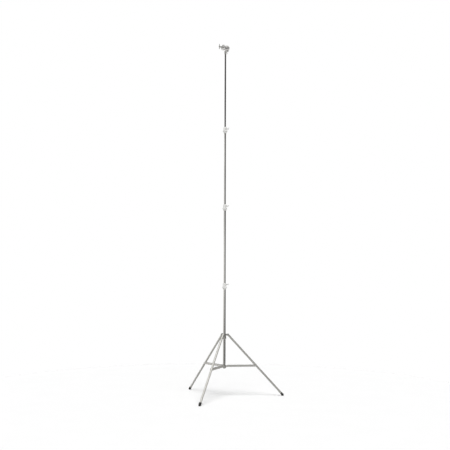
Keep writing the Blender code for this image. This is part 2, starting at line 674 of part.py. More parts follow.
def clamp_collar_shape(section):
    """The collar on the top of a column tube; its lower bore takes that tube and its upper one the riser."""
    outer_bore = tube_radius(section) + TOUCH_GAP
    riser_bore = tube_radius(section + 1) + TOUCH_GAP
    skirt_bottom = CLAMP_SKIRT_TOP - CLAMP_SKIRT_FLARE - CLAMP_SKIRT_HEIGHT
    profile = [
        (CLAMP_FOOT_RADIUS, -CLAMP_BELOW_TUBE),
        (CLAMP_BODY_RADIUS, skirt_bottom - CLAMP_SKIRT_FLARE),
        (CLAMP_SKIRT_RADIUS, skirt_bottom),
        (CLAMP_SKIRT_RADIUS, CLAMP_SKIRT_TOP - CLAMP_SKIRT_FLARE),
        (CLAMP_BODY_RADIUS, CLAMP_SKIRT_TOP),
        (CLAMP_BODY_RADIUS, CLAMP_ABOVE_TUBE - CLAMP_TOP_TAPER),
        (CLAMP_TOP_RADIUS, CLAMP_ABOVE_TUBE),
        (riser_bore, CLAMP_ABOVE_TUBE),
        (riser_bore, TOUCH_GAP),
        (outer_bore, TOUCH_GAP),
        (outer_bore, -CLAMP_BELOW_TUBE),
    ]
    shape = turned(profile)
    boss = rod(CLAMP_BOSS_RADIUS, BASE_TUBE_RADIUS + TUBE_RADIUS_STEP, CLAMP_BOSS_REACH, "X")
    shape = joined(shape, shifted(boss, (0.0, 0.0, CLAMP_SCREW_HEIGHT)))
    hole = drill(TEE_HOLE_RADIUS, 0.0, 2 * CLAMP_BOSS_REACH, "X")
    shape = cut(shape, shifted(hole, (0.0, 0.0, CLAMP_SCREW_HEIGHT)))
    screw_hole = drill(COLLAR_SCREW_RADIUS + PIVOT_CLEARANCE, -2 * CLAMP_SKIRT_RADIUS, 0.0, "X")
    return cut(shape, shifted(screw_hole, (0.0, 0.0, -COLLAR_SCREW_BELOW_TUBE)))


def make_clamp(section, tube):
    """The clamp collar of one section, with its set screw, its pressure shoe and its tee screw."""
    number = section + 1
    top = (0.0, 0.0, BASE_TUBE_TOP if section == 0 else RISER_EXPOSED)
    make_object(f"clamp_collar_{number}", clamp_collar_shape(section), "cast_collar", tube, top)

    inner_end = -tube_radius(section) - TOUCH_GAP
    screw = rod(COLLAR_SCREW_RADIUS, -CLAMP_FOOT_RADIUS - COLLAR_SCREW_PROUD, inner_end, "X")
    shifted(screw, (0.0, 0.0, -COLLAR_SCREW_BELOW_TUBE))
    make_object(f"collar_screw_{number}", screw, "zinc_fastener", tube, top)
    screw_place = (0.0, 0.0, top[2] + CLAMP_SCREW_HEIGHT)
    frame = make_frame(f"clamp_screw_axis_{number}", tube, screw_place)
    make_tee_screw(
        f"clamp_{number}",
        frame,
        tube=tube_radius(section + 1),
        screw=TEE_SCREW_RADIUS,
        shoe_length=TEE_SHOE_LENGTH,
        reach=TEE_REACH,
        bar=(TEE_BAR_RADIUS, TEE_BAR_LENGTH),
        hub=(TEE_HUB_RADIUS, TEE_HUB_LENGTH),
        bar_turn=CLAMP_TEE_TURNS[section],
    )


def make_risers(column):
    """The risers, each carried by the tube outside it. Returns the top one."""
    carrier = column
    emerges = BASE_TUBE_TOP
    for section in range(1, RISER_COUNT + 1):
        radius = tube_radius(section)
        bottom = -RISER_OVERLAP + GLIDE_LENGTH + TOUCH_GAP
        tube = ring(radius - TUBE_WALL, radius, bottom, RISER_EXPOSED)
        riser = make_object(f"riser_{section}", tube, "column_chrome", carrier, (0.0, 0.0, emerges))
        make_glide(section, riser)
        if section < RISER_COUNT:
            make_clamp(section, riser)
        carrier = riser
        emerges = RISER_EXPOSED
    return carrier


def make_glide(section, riser):
    """The plastic glide in a riser's lower end, which runs in the tube outside."""
    guide_radius = tube_radius(section - 1) - TUBE_WALL - TOUCH_GAP
    spigot_radius = tube_radius(section) - TUBE_WALL - TOUCH_GAP
    profile = [
        (guide_radius, 0.0),
        (guide_radius, GLIDE_LENGTH),
        (spigot_radius, GLIDE_LENGTH),
        (spigot_radius, GLIDE_LENGTH + GLIDE_SPIGOT),
        (GLIDE_BORE_RADIUS, GLIDE_LENGTH + GLIDE_SPIGOT),
        (GLIDE_BORE_RADIUS, 0.0),
    ]
    make_object(f"riser_glide_{section}", turned(profile), "black_plastic", riser, (0.0, 0.0, -RISER_OVERLAP))


# Head


def make_receiver(top_riser):
    """The socket on the top riser, with its shoe and small tee screw. Returns the frame at its rim."""
    socket_radius = HEAD_PIN_RADIUS + TOUCH_GAP
    spigot_radius = tube_radius(RISER_COUNT) - TUBE_WALL - TOUCH_GAP
    groove_start = RECEIVER_FLOOR
    groove_end = RECEIVER_FLOOR + RECEIVER_GROOVE_HEIGHT
    profile = [
        (spigot_radius - RECEIVER_SPIGOT_WALL, -RECEIVER_SPIGOT),
        (spigot_radius, -RECEIVER_SPIGOT),
        (spigot_radius, TOUCH_GAP),
        (RECEIVER_RADIUS, TOUCH_GAP),
        (RECEIVER_RADIUS, groove_start),
        (RECEIVER_RADIUS - RECEIVER_GROOVE_DEPTH, groove_start),
        (RECEIVER_RADIUS - RECEIVER_GROOVE_DEPTH, groove_end),
        (RECEIVER_RADIUS, groove_end),
        (RECEIVER_RADIUS, RECEIVER_HEIGHT - RECEIVER_RIM_HEIGHT),
        (RECEIVER_RIM_RADIUS, RECEIVER_HEIGHT - RECEIVER_RIM_HEIGHT),
        (RECEIVER_RIM_RADIUS, RECEIVER_HEIGHT),
        (socket_radius, RECEIVER_HEIGHT),
        (socket_radius, RECEIVER_FLOOR),
        (spigot_radius - RECEIVER_SPIGOT_WALL, RECEIVER_FLOOR),
    ]
    shape = turned(profile)
    screw_height = RECEIVER_HEIGHT - RECEIVER_SCREW_BELOW_RIM
    boss = rod(RECEIVER_BOSS_RADIUS, socket_radius + TOUCH_GAP, RECEIVER_BOSS_REACH, "X")
    hole = drill(RECEIVER_SCREW_RADIUS + PIVOT_CLEARANCE, 0.0, 2 * RECEIVER_BOSS_REACH, "X")
    shape = joined(shape, shifted(boss, (0.0, 0.0, screw_height)))
    shape = cut(shape, shifted(hole, (0.0, 0.0, screw_height)))
    place = (0.0, 0.0, RISER_EXPOSED)
    make_object("receiver", shape, "cast_collar", top_riser, place)
    frame = make_frame("receiver_screw_axis", top_riser, (0.0, 0.0, RISER_EXPOSED + screw_height))
    make_tee_screw(
        "receiver",
        frame,
        tube=HEAD_PIN_RADIUS,
        screw=RECEIVER_SCREW_RADIUS,
        shoe_length=RECEIVER_SHOE_LENGTH,
        reach=RECEIVER_TEE_REACH,
        bar=(RECEIVER_TEE_BAR_RADIUS, RECEIVER_TEE_BAR_LENGTH),
        hub=(RECEIVER_TEE_HUB_RADIUS, RECEIVER_TEE_HUB_LENGTH),
    )
    return make_frame("receiver_rim", top_riser, (0.0, 0.0, RISER_EXPOSED + RECEIVER_HEIGHT))


def head_frame_shape():
    """Pin, arm and round back plate in one piece."""
    arm_top = TOUCH_GAP + HEAD_ARM_THICKNESS
    arm_middle = TOUCH_GAP + HEAD_ARM_THICKNESS / 2
    half = HEAD_ARM_HALF_WIDTH
    arm_end = (HEAD_BACK_PLATE_START + HEAD_BACK_PLATE_END) / 2
    arm_outline = arc((0.0, 0.0), half, 90.0, 270.0, ARM_ARC_STEPS) + [(arm_end, -half), (arm_end, half)]
    arm = plate(arm_outline, -arm_top, -TOUCH_GAP)
    bmesh.ops.transform(arm, matrix=Matrix.Rotation(-math.pi / 2, 4, "X"), verts=arm.verts)
    neck_corner = math.degrees(math.acos(half / JAW_RADIUS))
    back_end = 180.0 + neck_corner
    back_outline = arc((0.0, JAW_AXIS_HEIGHT), JAW_RADIUS, -neck_corner, back_end, BACK_PLATE_ARC_STEPS)
    back_outline += [(-half, arm_middle), (half, arm_middle)]
    back = plate(back_outline, HEAD_BACK_PLATE_START, HEAD_BACK_PLATE_END)
    bmesh.ops.transform(back, matrix=Matrix.Rotation(-math.pi / 2, 4, "Z"), verts=back.verts)
    pin = rod(HEAD_PIN_RADIUS, -HEAD_PIN_LENGTH, arm_middle, steps=TURN_STEPS)
    bore = drill(JAW_BORE_RADIUS, 0.0, 2 * HEAD_BACK_PLATE_END, "X")
    return cut(joined(arm, back, pin), shifted(bore, (0.0, 0.0, JAW_AXIS_HEIGHT)))


def flat_jaw_back():
    """Outline of a jaw's back that lies flat on the friction disc."""
    return [(JAW_RADIUS - JAW_RIM_CHAMFER, JAW_THICKNESS), (JAW_RADIUS, JAW_THICKNESS - JAW_RIM_CHAMFER)]


def domed_jaw_back():
    """Outline of a jaw's back that falls away in a dome from the washer to the rim."""
    outline = []
    for step in range(JAW_DOME_STEPS + 1):
        share = step / JAW_DOME_STEPS
        radius = JAW_DOME_START + share * (JAW_RADIUS - JAW_DOME_START)
        outline.append((radius, JAW_THICKNESS - JAW_DOME_DROP * share * share))
    return outline


def jaw_shape(back):
    """A round jaw with its gripping face at x = 0: a vee groove above the bolt, a rod groove below it
    and a recess round it for the end of the spring."""
    profile = [
        (SPRING_RECESS_RADIUS, 0.0),
        (SPRING_RECESS_RADIUS, SPRING_RECESS_DEPTH),
        (JAW_BORE_RADIUS, SPRING_RECESS_DEPTH),
        (JAW_BORE_RADIUS, JAW_THICKNESS),
        *back,
        (JAW_RADIUS, 0.0),
    ]
    shape = turned(profile, "X", steps=2 * SMALL_TURN_STEPS)
    lead = TOUCH_GAP
    vee = [
        (-lead, PIPE_GROOVE_OFFSET - PIPE_GROOVE_HALF_HEIGHT),
        (PIPE_GROOVE_DEPTH, PIPE_GROOVE_OFFSET),
        (-lead, PIPE_GROOVE_OFFSET + PIPE_GROOVE_HALF_HEIGHT),
    ]
    reach = 2 * JAW_RADIUS
    rod_groove = shifted(drill(ROD_GROOVE_RADIUS, -reach, reach, "Y"), (0.0, 0.0, -ROD_GROOVE_OFFSET))
    return cut(shape, plate(vee, -reach, reach), rod_groove)


def spring_points():
    """Points along the middle of the wire, from the outer jaw's recess to the inner jaw's."""
    inset = TOUCH_GAP + SPRING_WIRE_RADIUS - SPRING_RECESS_DEPTH
    start = OUTER_JAW_FACE + inset
    length = INNER_JAW_FACE - inset - start
    steps = SPRING_TURNS * SPRING_POINTS_PER_TURN
    points = []
    for index in range(steps + 1):
        angle = 2 * math.pi * index / SPRING_POINTS_PER_TURN
        across = SPRING_COIL_RADIUS * math.cos(angle)
        points.append(Vector((start + length * index / steps, across, SPRING_COIL_RADIUS * math.sin(angle))))
    return points


def least_gap_between_turns(points):
    """The least air between points of the wire that are half a turn or more apart."""
    nearest = math.inf
    apart = SPRING_POINTS_PER_TURN // 2
    for index, point in enumerate(points):
        for other in points[index + apart:]:
            nearest = min(nearest, (other - point).length)
    return nearest - 2 * SPRING_WIRE_RADIUS


def make_spring(jaw_axis):
    """The open coil round the bolt that pushes the jaws apart, one unbroken wire."""
    points = spring_points()
    curve = bpy.data.curves.new("jaw_spring", "CURVE")
    curve.dimensions = "3D"
    curve.bevel_depth = SPRING_WIRE_RADIUS
    curve.bevel_resolution = 1
    curve.use_fill_caps = True
    wire = curve.splines.new("POLY")
    wire.points.add(len(points) - 1)
    for place, point in zip(wire.points, points):
        place.co = (*point, 1.0)
    curve.materials.append(finish_material("spring_steel"))
    spring = bpy.data.objects.new("jaw_spring", curve)
    bpy.context.scene.collection.objects.link(spring)
    spring.parent = jaw_axis
    print(f"jaw spring: least gap between turns {least_gap_between_turns(points) * 1000:.2f} mm")


def jaw_bolt_shape():
    """The bolt that all three plates of the head sit on, with a hexagon head at the back."""
    head_start = HEAD_BACK_PLATE_END + BOLT_WASHER_THICKNESS + 2 * TOUCH_GAP
    corner_radius = JAW_BOLT_HEAD_RADIUS / math.cos(math.pi / 6)
    head = rod(corner_radius, head_start, head_start + JAW_BOLT_HEAD_HEIGHT, "X", steps=HEXAGON_SIDES)
    shank = rod(JAW_BOLT_RADIUS, JAW_BOLT_END, head_start + JAW_BOLT_HEAD_HEIGHT / 2, "X")
    return joined(head, shank)


def jaw_tee_shape():
    """The long tee nut on the jaw bolt, open right through for the bolt."""
    end = JAW_TEE_START - JAW_TEE_HUB_LENGTH
    shape = rod(JAW_TEE_HUB_RADIUS, end, JAW_TEE_START, "X", steps=TURN_STEPS)
    bar = rod(JAW_TEE_BAR_RADIUS, -JAW_TEE_BAR_LENGTH / 2, JAW_TEE_BAR_LENGTH / 2)
    shape = joined(shape, shifted(bar, (end + JAW_TEE_BAR_INSET, 0.0, 0.0)))
    return cut(shape, drill(JAW_BORE_RADIUS, 2 * end, 0.0, "X"))


def make_head(rim):
    """The grip head: frame, two jaws on one bolt, spring, washers and the tee nut."""
    make_object("head_frame", head_frame_shape(), "head_casting", rim)
    jaw_axis = make_frame("jaw_axis", rim, (0.0, 0.0, JAW_AXIS_HEIGHT))
    inner_jaw = jaw_shape(flat_jaw_back())
    make_object("inner_jaw", inner_jaw, "jaw_steel", jaw_axis, (INNER_JAW_FACE, 0.0, 0.0))
    outer_jaw = jaw_shape(domed_jaw_back())
    turned_back = (0.0, 0.0, math.pi)
    make_object("outer_jaw", outer_jaw, "jaw_steel", jaw_axis, (OUTER_JAW_FACE, 0.0, 0.0), turned_back)
    friction_start = INNER_JAW_FACE + JAW_THICKNESS + TOUCH_GAP
    friction_end = friction_start + FRICTION_DISC_THICKNESS
    friction = ring(JAW_BORE_RADIUS, FRICTION_DISC_RADIUS, friction_start, friction_end, "X")
    make_object("friction_disc", friction, "friction_fibre", jaw_axis)
    make_object("jaw_bolt", jaw_bolt_shape(), "zinc_fastener", jaw_axis)
    back_washer_start = HEAD_BACK_PLATE_END + TOUCH_GAP
    front_washer_end = OUTER_JAW_FACE - JAW_THICKNESS - TOUCH_GAP
    washers = {
        "bolt_washer": (back_washer_start, back_washer_start + BOLT_WASHER_THICKNESS),
        "thrust_washer": (front_washer_end - BOLT_WASHER_THICKNESS, front_washer_end),
    }
    for name, (start, end) in washers.items():
        solid = ring(JAW_BORE_RADIUS, BOLT_WASHER_RADIUS, start, end, "X", steps=SMALL_TURN_STEPS)
        make_object(name, solid, "zinc_fastener", jaw_axis)
    make_object("jaw_tee", jaw_tee_shape(), "cast_collar", jaw_axis)
    make_spring(jaw_axis)


def print_motion():
    """Print the joint places and ranges that follow from the sizes."""
    riser_top = BASE_TUBE_TOP + RISER_COUNT * RISER_EXPOSED
    values = {
        "column y": -LEG_REACH / 4,
        "hub pivot height": HUB_PIVOT_HEIGHT,
        "leg pivot height": LEG_PIVOT_HEIGHT,
        "brace pivot radius": BRACE_PIVOT_RADIUS,
        "leg hinge radius": LEG_HINGE_RADIUS,
        "fold travel": FOLD_TRAVEL,
        "folded brace angle, degrees": math.degrees(FOLDED_BRACE_ANGLE),
        "folded leg turn, degrees": math.degrees(OPEN_LEG_ANGLE - FOLDED_LEG_ANGLE),
        "riser travel": RISER_TRAVEL,
        "base tube top": BASE_TUBE_TOP,
        "top riser end": riser_top,
        "jaw axis height": riser_top + RECEIVER_HEIGHT + JAW_AXIS_HEIGHT,
        "leg reach": LEG_REACH,
        "jaw travel": JAW_OPENING - JAW_CLOSED_GAP,
    }
    for name, value in values.items():
        print(f"{name}: {value:.6f}")


def main():
    """Build the whole stand."""
    for old in list(bpy.data.objects):
        bpy.data.objects.remove(old)
    column = make_frame("column_axis", None, (0.0, -LEG_REACH / 4, 0.0))
    make_base_tube(column)
    make_hub(column)
    slider = make_frame("leg_collar_axis", column, (0.0, 0.0, LEG_PIVOT_HEIGHT))
    make_leg_collar(slider)
    turn = (0.0, 0.0, LEG_COLLAR_BOSS_AZIMUTH)
    screw_axis = make_frame("leg_collar_screw_axis", slider, (0.0, 0.0, -LEG_COLLAR_BOSS_BELOW_PIVOT), turn)
    make_tee_screw(
        "leg_collar",
        screw_axis,
        tube=BASE_TUBE_RADIUS,
        screw=TEE_SCREW_RADIUS,
        shoe_length=TEE_SHOE_LENGTH,
        reach=LEG_COLLAR_TEE_REACH,
        bar=(TEE_BAR_RADIUS, TEE_BAR_LENGTH),
        hub=(TEE_HUB_RADIUS, TEE_HUB_LENGTH),
    )
    make_leg_set(column)
    make_clamp(0, column)
    top_riser = make_risers(column)
    make_head(make_receiver(top_riser))
    bpy.context.view_layer.update()
    print_motion()


main()
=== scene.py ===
"""Looks of a tall overhead stand: a telescopic column, a folding tripod base and a grip head.

Every piece is built in its own frame, with Z along the axis it was turned on, and then set in the
stand's frame, in metres with +Z up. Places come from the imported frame: joints, mounts and boxes.
"""

import json
import logging
import math
from collections.abc import Callable, Sequence
from dataclasses import dataclass, replace
from enum import Enum

import bmesh
import bpy
from bmesh.types import BMEdge, BMesh, BMVert
from mathutils import Matrix, Vector

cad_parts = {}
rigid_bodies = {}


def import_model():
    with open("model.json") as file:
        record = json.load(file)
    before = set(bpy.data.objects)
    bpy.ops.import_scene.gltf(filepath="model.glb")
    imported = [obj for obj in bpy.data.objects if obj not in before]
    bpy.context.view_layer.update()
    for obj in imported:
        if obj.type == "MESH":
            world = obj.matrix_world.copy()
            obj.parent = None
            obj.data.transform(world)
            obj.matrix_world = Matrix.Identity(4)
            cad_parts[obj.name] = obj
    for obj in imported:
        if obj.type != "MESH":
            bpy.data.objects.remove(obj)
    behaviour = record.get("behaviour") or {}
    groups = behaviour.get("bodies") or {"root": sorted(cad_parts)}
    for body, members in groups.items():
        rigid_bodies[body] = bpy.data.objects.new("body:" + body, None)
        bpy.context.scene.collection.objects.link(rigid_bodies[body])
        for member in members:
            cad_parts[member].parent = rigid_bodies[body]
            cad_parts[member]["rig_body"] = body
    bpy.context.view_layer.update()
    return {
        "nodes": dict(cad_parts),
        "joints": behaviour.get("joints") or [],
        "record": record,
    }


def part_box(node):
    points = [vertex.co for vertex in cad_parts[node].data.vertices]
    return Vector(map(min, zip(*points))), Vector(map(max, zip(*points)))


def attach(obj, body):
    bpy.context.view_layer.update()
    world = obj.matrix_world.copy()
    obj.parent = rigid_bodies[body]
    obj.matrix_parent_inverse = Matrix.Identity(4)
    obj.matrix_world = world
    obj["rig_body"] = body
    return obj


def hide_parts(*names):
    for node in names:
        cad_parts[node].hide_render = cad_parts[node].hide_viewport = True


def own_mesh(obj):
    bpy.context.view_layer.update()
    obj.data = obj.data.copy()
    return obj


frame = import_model()
JOINTS = {joint["name"]: joint for joint in frame["joints"]}
MOUNTS = {mount["name"]: mount for mount in frame["record"]["mounts"]}

log = logging.getLogger("overhead_stand")

Outline = Sequence[tuple[float, float]]
Colour = tuple[float, float, float]
Socket = bpy.types.NodeSocket
Value = float | tuple[float, ...] | Socket

# Facets of round shapes
ROUND_STEPS = 96
SLEEVE_STEPS = 80
BOSS_STEPS = 64
SLIM_STEPS = 48
SMALL_ROUND_STEPS = 40
HALF_ROUND_STEPS = 24
DOME_STEPS = 10
CORNER_STEPS = 4
RIM_STEPS = 3

# Limits and allowances
MERGE_DISTANCE = 1e-6
TOUCH_GAP = 0.0003
OVERLAP = 0.001
STRAIGHT_CORNER = math.radians(86.0)
MOST_OF_A_SIDE = 0.45
THREAD_DEPTH = 0.55
HALF_CREST = 0.06

# Shading
SHARP_ANGLE = math.radians(32.0)
FLAT_FACE_WEIGHT = 90
PLACE_ATTRIBUTE = "piece_place"

UP = Vector((0.0, 0.0, 1.0))
LEG_NUMBERS = (1, 2, 3)
RISER_NUMBERS = (1, 2, 3)


class Slot(Enum):
    """The material slots of the record that the finishes stand for."""

    COLUMN_CHROME = "column_chrome"
    LEG_STEEL = "leg_steel"
    CAST_COLLAR = "cast_collar"
    ZINC_FASTENER = "zinc_fastener"
    DARK_RUBBER = "dark_rubber"
    BLACK_PLASTIC = "black_plastic"
    BRASS_SHOE = "brass_shoe"
    HEAD_CASTING = "head_casting"
    JAW_STEEL = "jaw_steel"
    SPRING_STEEL = "spring_steel"
    FRICTION_FIBRE = "friction_fibre"


class ToolMarks(Enum):
    """Which way the fine marks of making run on a surface."""

    LENGTHWISE = "lengthwise"
    ROUND = "round"
    CAST = "cast"


class Operation(Enum):
    """How two closed shapes are combined."""

    UNION = "UNION"
    DIFFERENCE = "DIFFERENCE"
    INTERSECT = "INTERSECT"


class Axis(Enum):
    """The axis that a shape's own Z is laid along, as the turn that lays it there."""

    X = (math.pi / 2, "Y")
    Y = (-math.pi / 2, "X")
    Z = (0.0, "Z")


# Outlines


def rounded(
    corners: Outline, radius: float, closed: bool = True, steps: int = CORNER_STEPS
) -> Outline:
    """Put an arc in place of each corner of an outline.

    Args:
        corners: The sharp corners in order.
        radius: The rounding asked for; short sides limit it.
        closed: Whether the last corner joins the first one.
        steps: How many short sides make up each arc.

    Returns:
        The rounded outline. The ends of an open outline stay as they are.
    """
    points: list[tuple[float, float]] = []
    for index, corner in enumerate(corners):
        here = Vector(corner)
        back = Vector(corners[index - 1]) - here
        ahead = Vector(corners[(index + 1) % len(corners)]) - here
        at_end = not closed and index in (0, len(corners) - 1)
        half = back.angle(ahead) / 2
        if at_end or half > STRAIGHT_CORNER:
            points.append(tuple(here))
            continue
        limit = MOST_OF_A_SIDE * min(back.length, ahead.length)
        reach = min(radius / math.tan(half), limit)
        middle = (back.normalized() + ahead.normalized()).normalized()
        centre = here + middle * (reach / math.cos(half))
        start = here + back.normalized() * reach - centre
        end = here + ahead.normalized() * reach - centre
        sweep = start.angle(end)
        for step in range(steps + 1):
            share = step / steps
            near = math.sin((1 - share) * sweep) / math.sin(sweep)
            far = math.sin(share * sweep) / math.sin(sweep)
            points.append(tuple(centre + start * near + end * far))
    return points


def arc(
    centre: tuple[float, float], radius: float, start: float, end: float, steps: int
) -> Outline:
    """Points along an arc.

    Args:
        centre: The arc's centre.
        radius: Its radius.
        start: The first angle in degrees.
        end: The last angle in degrees.
        steps: How many short sides it has.

    Returns:
        The points, first to last.
    """
    angles = [math.radians(start + (end - start) * step / steps) for step in range(steps + 1)]
    return [(centre[0] + radius * math.cos(a), centre[1] + radius * math.sin(a)) for a in angles]


def hexagon(corner: float, first: float = 0.0) -> Outline:
    """A hexagon by the radius of its corners and the angle of the first one."""
    return arc((0.0, 0.0), corner, first, first + 300.0, 5)


def oblong(inner: float, outer: float, low: float, high: float) -> Outline:
    """The four corners between two radii and two heights."""
    return [(inner, low), (outer, low), (outer, high), (inner, high)]


def threaded(radius: float, start: float, end: float, pitch: float) -> Outline:
    """The side of a threaded shank as a (radius, height) profile.

    Args:
        radius: Radius over the crests.
        start: Height where the thread starts.
        end: Height where it ends.
        pitch: Distance from crest to crest.

    Returns:
        Crest, flank and root points from start to end.
    """
    turns = max(1, int((end - start) / pitch))
    step = (end - start) / turns
    root = radius - THREAD_DEPTH * pitch
    turn = ((radius, HALF_CREST), (root, 0.5), (radius, 1 - HALF_CREST))
    return [(at, start + (number + share) * step) for number in range(turns) for at, share in turn]


# Shapes


def mended(shape: BMesh) -> BMesh:
    """Merge what touches and turn the faces out, and return the same shape."""
    bmesh.ops.remove_doubles(shape, verts=shape.verts, dist=MERGE_DISTANCE)
    bmesh.ops.recalc_face_normals(shape, faces=shape.faces)
    return shape


def lathe(profile: Outline, rounding: float = 0.0, steps: int = ROUND_STEPS) -> BMesh:
    """Spin a (radius, height) profile round Z.

    Args:
        profile: Its corners. One that starts on the axis ends there too, and any other closes.
        rounding: Rounding of the corners, or 0 for sharp ones.
        steps: Facets round the axis.

    Returns:
        A closed shape with its faces out.
    """
    closed = profile[0][0] > MERGE_DISTANCE
    points = rounded(profile, rounding, closed) if rounding > 0.0 else profile
    shape = bmesh.new()
    corners = [shape.verts.new((radius, 0.0, height)) for radius, height in points]
    edges = [shape.edges.new(pair) for pair in zip(corners, corners[1:])]
    if closed:
        edges.append(shape.edges.new((corners[-1], corners[0])))
    bmesh.ops.spin(
        shape,
        geom=corners + edges,
        cent=(0.0, 0.0, 0.0),
        axis=(0.0, 0.0, 1.0),
        angle=2 * math.pi,
        steps=steps,
        use_merge=True,
    )
    return mended(shape)


def bevel(shape: BMesh, edges: list[BMEdge], offset: float, segments: int) -> None:
    """Round edges of a shape.

    Args:
        shape: The shape that is changed.
        edges: Its edges to round.
        offset: How far from each edge the rounding starts.
        segments: Its facets.
    """
    bmesh.ops.bevel(
        shape,
        geom=edges,
        offset=offset,
        offset_type="OFFSET",
        affect="EDGES",
        segments=segments,
        profile=0.5,
        material=-1,
        clamp_overlap=True,
    )


def is_level(edge: BMEdge) -> bool:
    """Whether both ends of an edge are at one height."""
    return abs(edge.verts[0].co.z - edge.verts[1].co.z) < MERGE_DISTANCE


def prism(outline: Outline, low: float, high: float, rounding: float = 0.0) -> BMesh:
    """Extrude an (x, y) outline along Z and round the rims of both ends.

    Args:
        outline: The outline's points in order.
        low: Where the shape starts.
        high: Where it ends.
        rounding: Radius of the rims, or 0 for sharp ones.

    Returns:
        A closed shape with its faces out.
    """
    shape = bmesh.new()
    face = shape.faces.new([shape.verts.new((x, y, low)) for x, y in outline])
    extruded = bmesh.ops.extrude_face_region(shape, geom=[face])
    moved = [item for item in extruded["geom"] if isinstance(item, BMVert)]
    bmesh.ops.translate(shape, vec=(0.0, 0.0, high - low), verts=moved)
    bmesh.ops.recalc_face_normals(shape, faces=shape.faces)
    if rounding > 0.0:
        bevel(shape, [edge for edge in shape.edges if is_level(edge)], rounding, RIM_STEPS)
    return mended(shape)


def moved_by(shape: BMesh, matrix: Matrix) -> BMesh:
    """Move a shape by a matrix, and return the same shape."""
    bmesh.ops.transform(shape, matrix=matrix, verts=shape.verts)
    return shape


def shifted(shape: BMesh, x: float = 0.0, z: float = 0.0) -> BMesh:
    """Move a shape without turning it, and return the same shape."""
    return moved_by(shape, Matrix.Translation((x, 0.0, z)))


def lying(shape: BMesh, axis: Axis) -> BMesh:
    """Lay a shape's own Z along an axis, and return the same shape."""
    angle, about = axis.value
    return moved_by(shape, Matrix.Rotation(angle, 4, about))


def upright(shape: BMesh) -> BMesh:
    """Turn a prism so its outline stands in the (x, z) plane, and return the same shape."""
    return moved_by(shape, Matrix.Rotation(math.pi / 2, 4, "X"))


def facing_x(shape: BMesh) -> BMesh:
    """Turn a prism so its outline stands in the (y, z) plane, and return the same shape."""
    return moved_by(shape, Matrix(((0, 0, 1, 0), (1, 0, 0, 0), (0, 1, 0, 0), (0, 0, 0, 1))))


def drill(
    radius: float, low: float, high: float, axis: Axis = Axis.Z, steps: int = SMALL_ROUND_STEPS
) -> BMesh:
    """A round cutter, turned a third of a facet so its corners miss those it cuts."""
    shape = lathe(oblong(0.0, radius, low, high), steps=steps)
    return lying(moved_by(shape, Matrix.Rotation(2 * math.pi / steps / 3, 4, "Z")), axis)


def hex_socket(size: tuple[float, float], face: float) -> BMesh:
    """The cutter of a socket in a face at a height, by its corner radius and its depth."""
    corner, depth = size
    return prism(hexagon(corner), face - depth, face + OVERLAP)


def block(low: tuple[float, float, float], high: tuple[float, float, float]) -> BMesh:
    """A box between two opposite corners.

    Args:
        low: The corner with the lowest numbers.
        high: The corner with the highest numbers.

    Returns:
        The box.
    """
    shape = bmesh.new()
    bmesh.ops.create_cube(shape, size=1.0)
    size = Vector(high) - Vector(low)
    middle = (Vector(high) + Vector(low)) / 2
    return moved_by(shape, Matrix.Translation(middle) @ Matrix.Diagonal((*size, 1.0)))


def linked(name: str, data: bpy.types.ID | None) -> bpy.types.Object:
    """Put data in the scene as an object.

    Args:
        name: The object's name.
        data: Its mesh, curve, light or camera.

    Returns:
        The new object.
    """
    thing = bpy.data.objects.new(name, data)
    bpy.context.scene.collection.objects.link(thing)
    return thing


def object_of(name: str, shape: BMesh) -> bpy.types.Object:
    """Put a shape in the scene as a mesh object.

    Args:
        name: The name of the object and of its mesh.
        shape: The shape; it is freed.

    Returns:
        The new object.
    """
    mesh = bpy.data.meshes.new(name)
    shape.to_mesh(mesh)
    shape.free()
    return linked(name, mesh)


def shape_of(thing: bpy.types.Object) -> BMesh:
    """Read an object's final mesh.

    Args:
        thing: The object, with its modifiers or its curve's thickness.

    Returns:
        Its mesh as a new shape.
    """
    evaluated = thing.evaluated_get(bpy.context.evaluated_depsgraph_get())
    shape = bmesh.new()
    shape.from_mesh(evaluated.to_mesh())
    evaluated.to_mesh_clear()
    return shape


def combined(shape: BMesh, tool: BMesh, operation: Operation) -> BMesh:
    """Combine two closed shapes exactly.

    Args:
        shape: The shape that is kept.
        tool: The shape that is added, taken away or met.
        operation: What is done with it.

    Returns:
        The new shape; both old ones are freed.
    """
    helpers = [object_of("helper", source) for source in (shape, tool)]
    modifier = helpers[0].modifiers.new("combine", "BOOLEAN")
    modifier.operation = operation.value
    modifier.solver = "EXACT"
    modifier.object = helpers[1]
    result = shape_of(helpers[0])
    for helper in helpers:
        mesh = helper.data
        bpy.data.objects.remove(helper)
        bpy.data.meshes.remove(mesh)
    return mended(result)


def cut(shape: BMesh, *tools: BMesh) -> BMesh:
    """Take each tool away from the shape, in order.

    Args:
        shape: The shape that is cut.
        tools: The shapes that are taken away.

    Returns:
        What is left.
    """
    for tool in tools:
        shape = combined(shape, tool, Operation.DIFFERENCE)
    return shape


def joined(shape: BMesh, *others: BMesh) -> BMesh:
    """Make one body of the shape and the others, in order.

    Args:
        shape: The first shape.
        others: The shapes that are added.

    Returns:
        The body.
    """
    for other in others:
        shape = combined(shape, other, Operation.UNION)
    return shape


# Places


def frame_of(origin: Vector, up: Vector, towards: Vector) -> Matrix:
    """A place whose Z follows one direction and whose X points towards another.

    Args:
        origin: Where the piece's own origin goes.
        up: Where its Z points.
        towards: Roughly where its X points.

    Returns:
        The matrix from the piece's own frame to the stand's.
    """
    z = up.normalized()
    x = (towards - z * towards.dot(z)).normalized()
    y = z.cross(x)
    return Matrix.Translation(origin) @ Matrix((x, y, z)).transposed().to_4x4()


def middle_of(node: str) -> Vector:
    """The middle of a node's box."""
    low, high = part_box(node)
    return (low + high) / 2


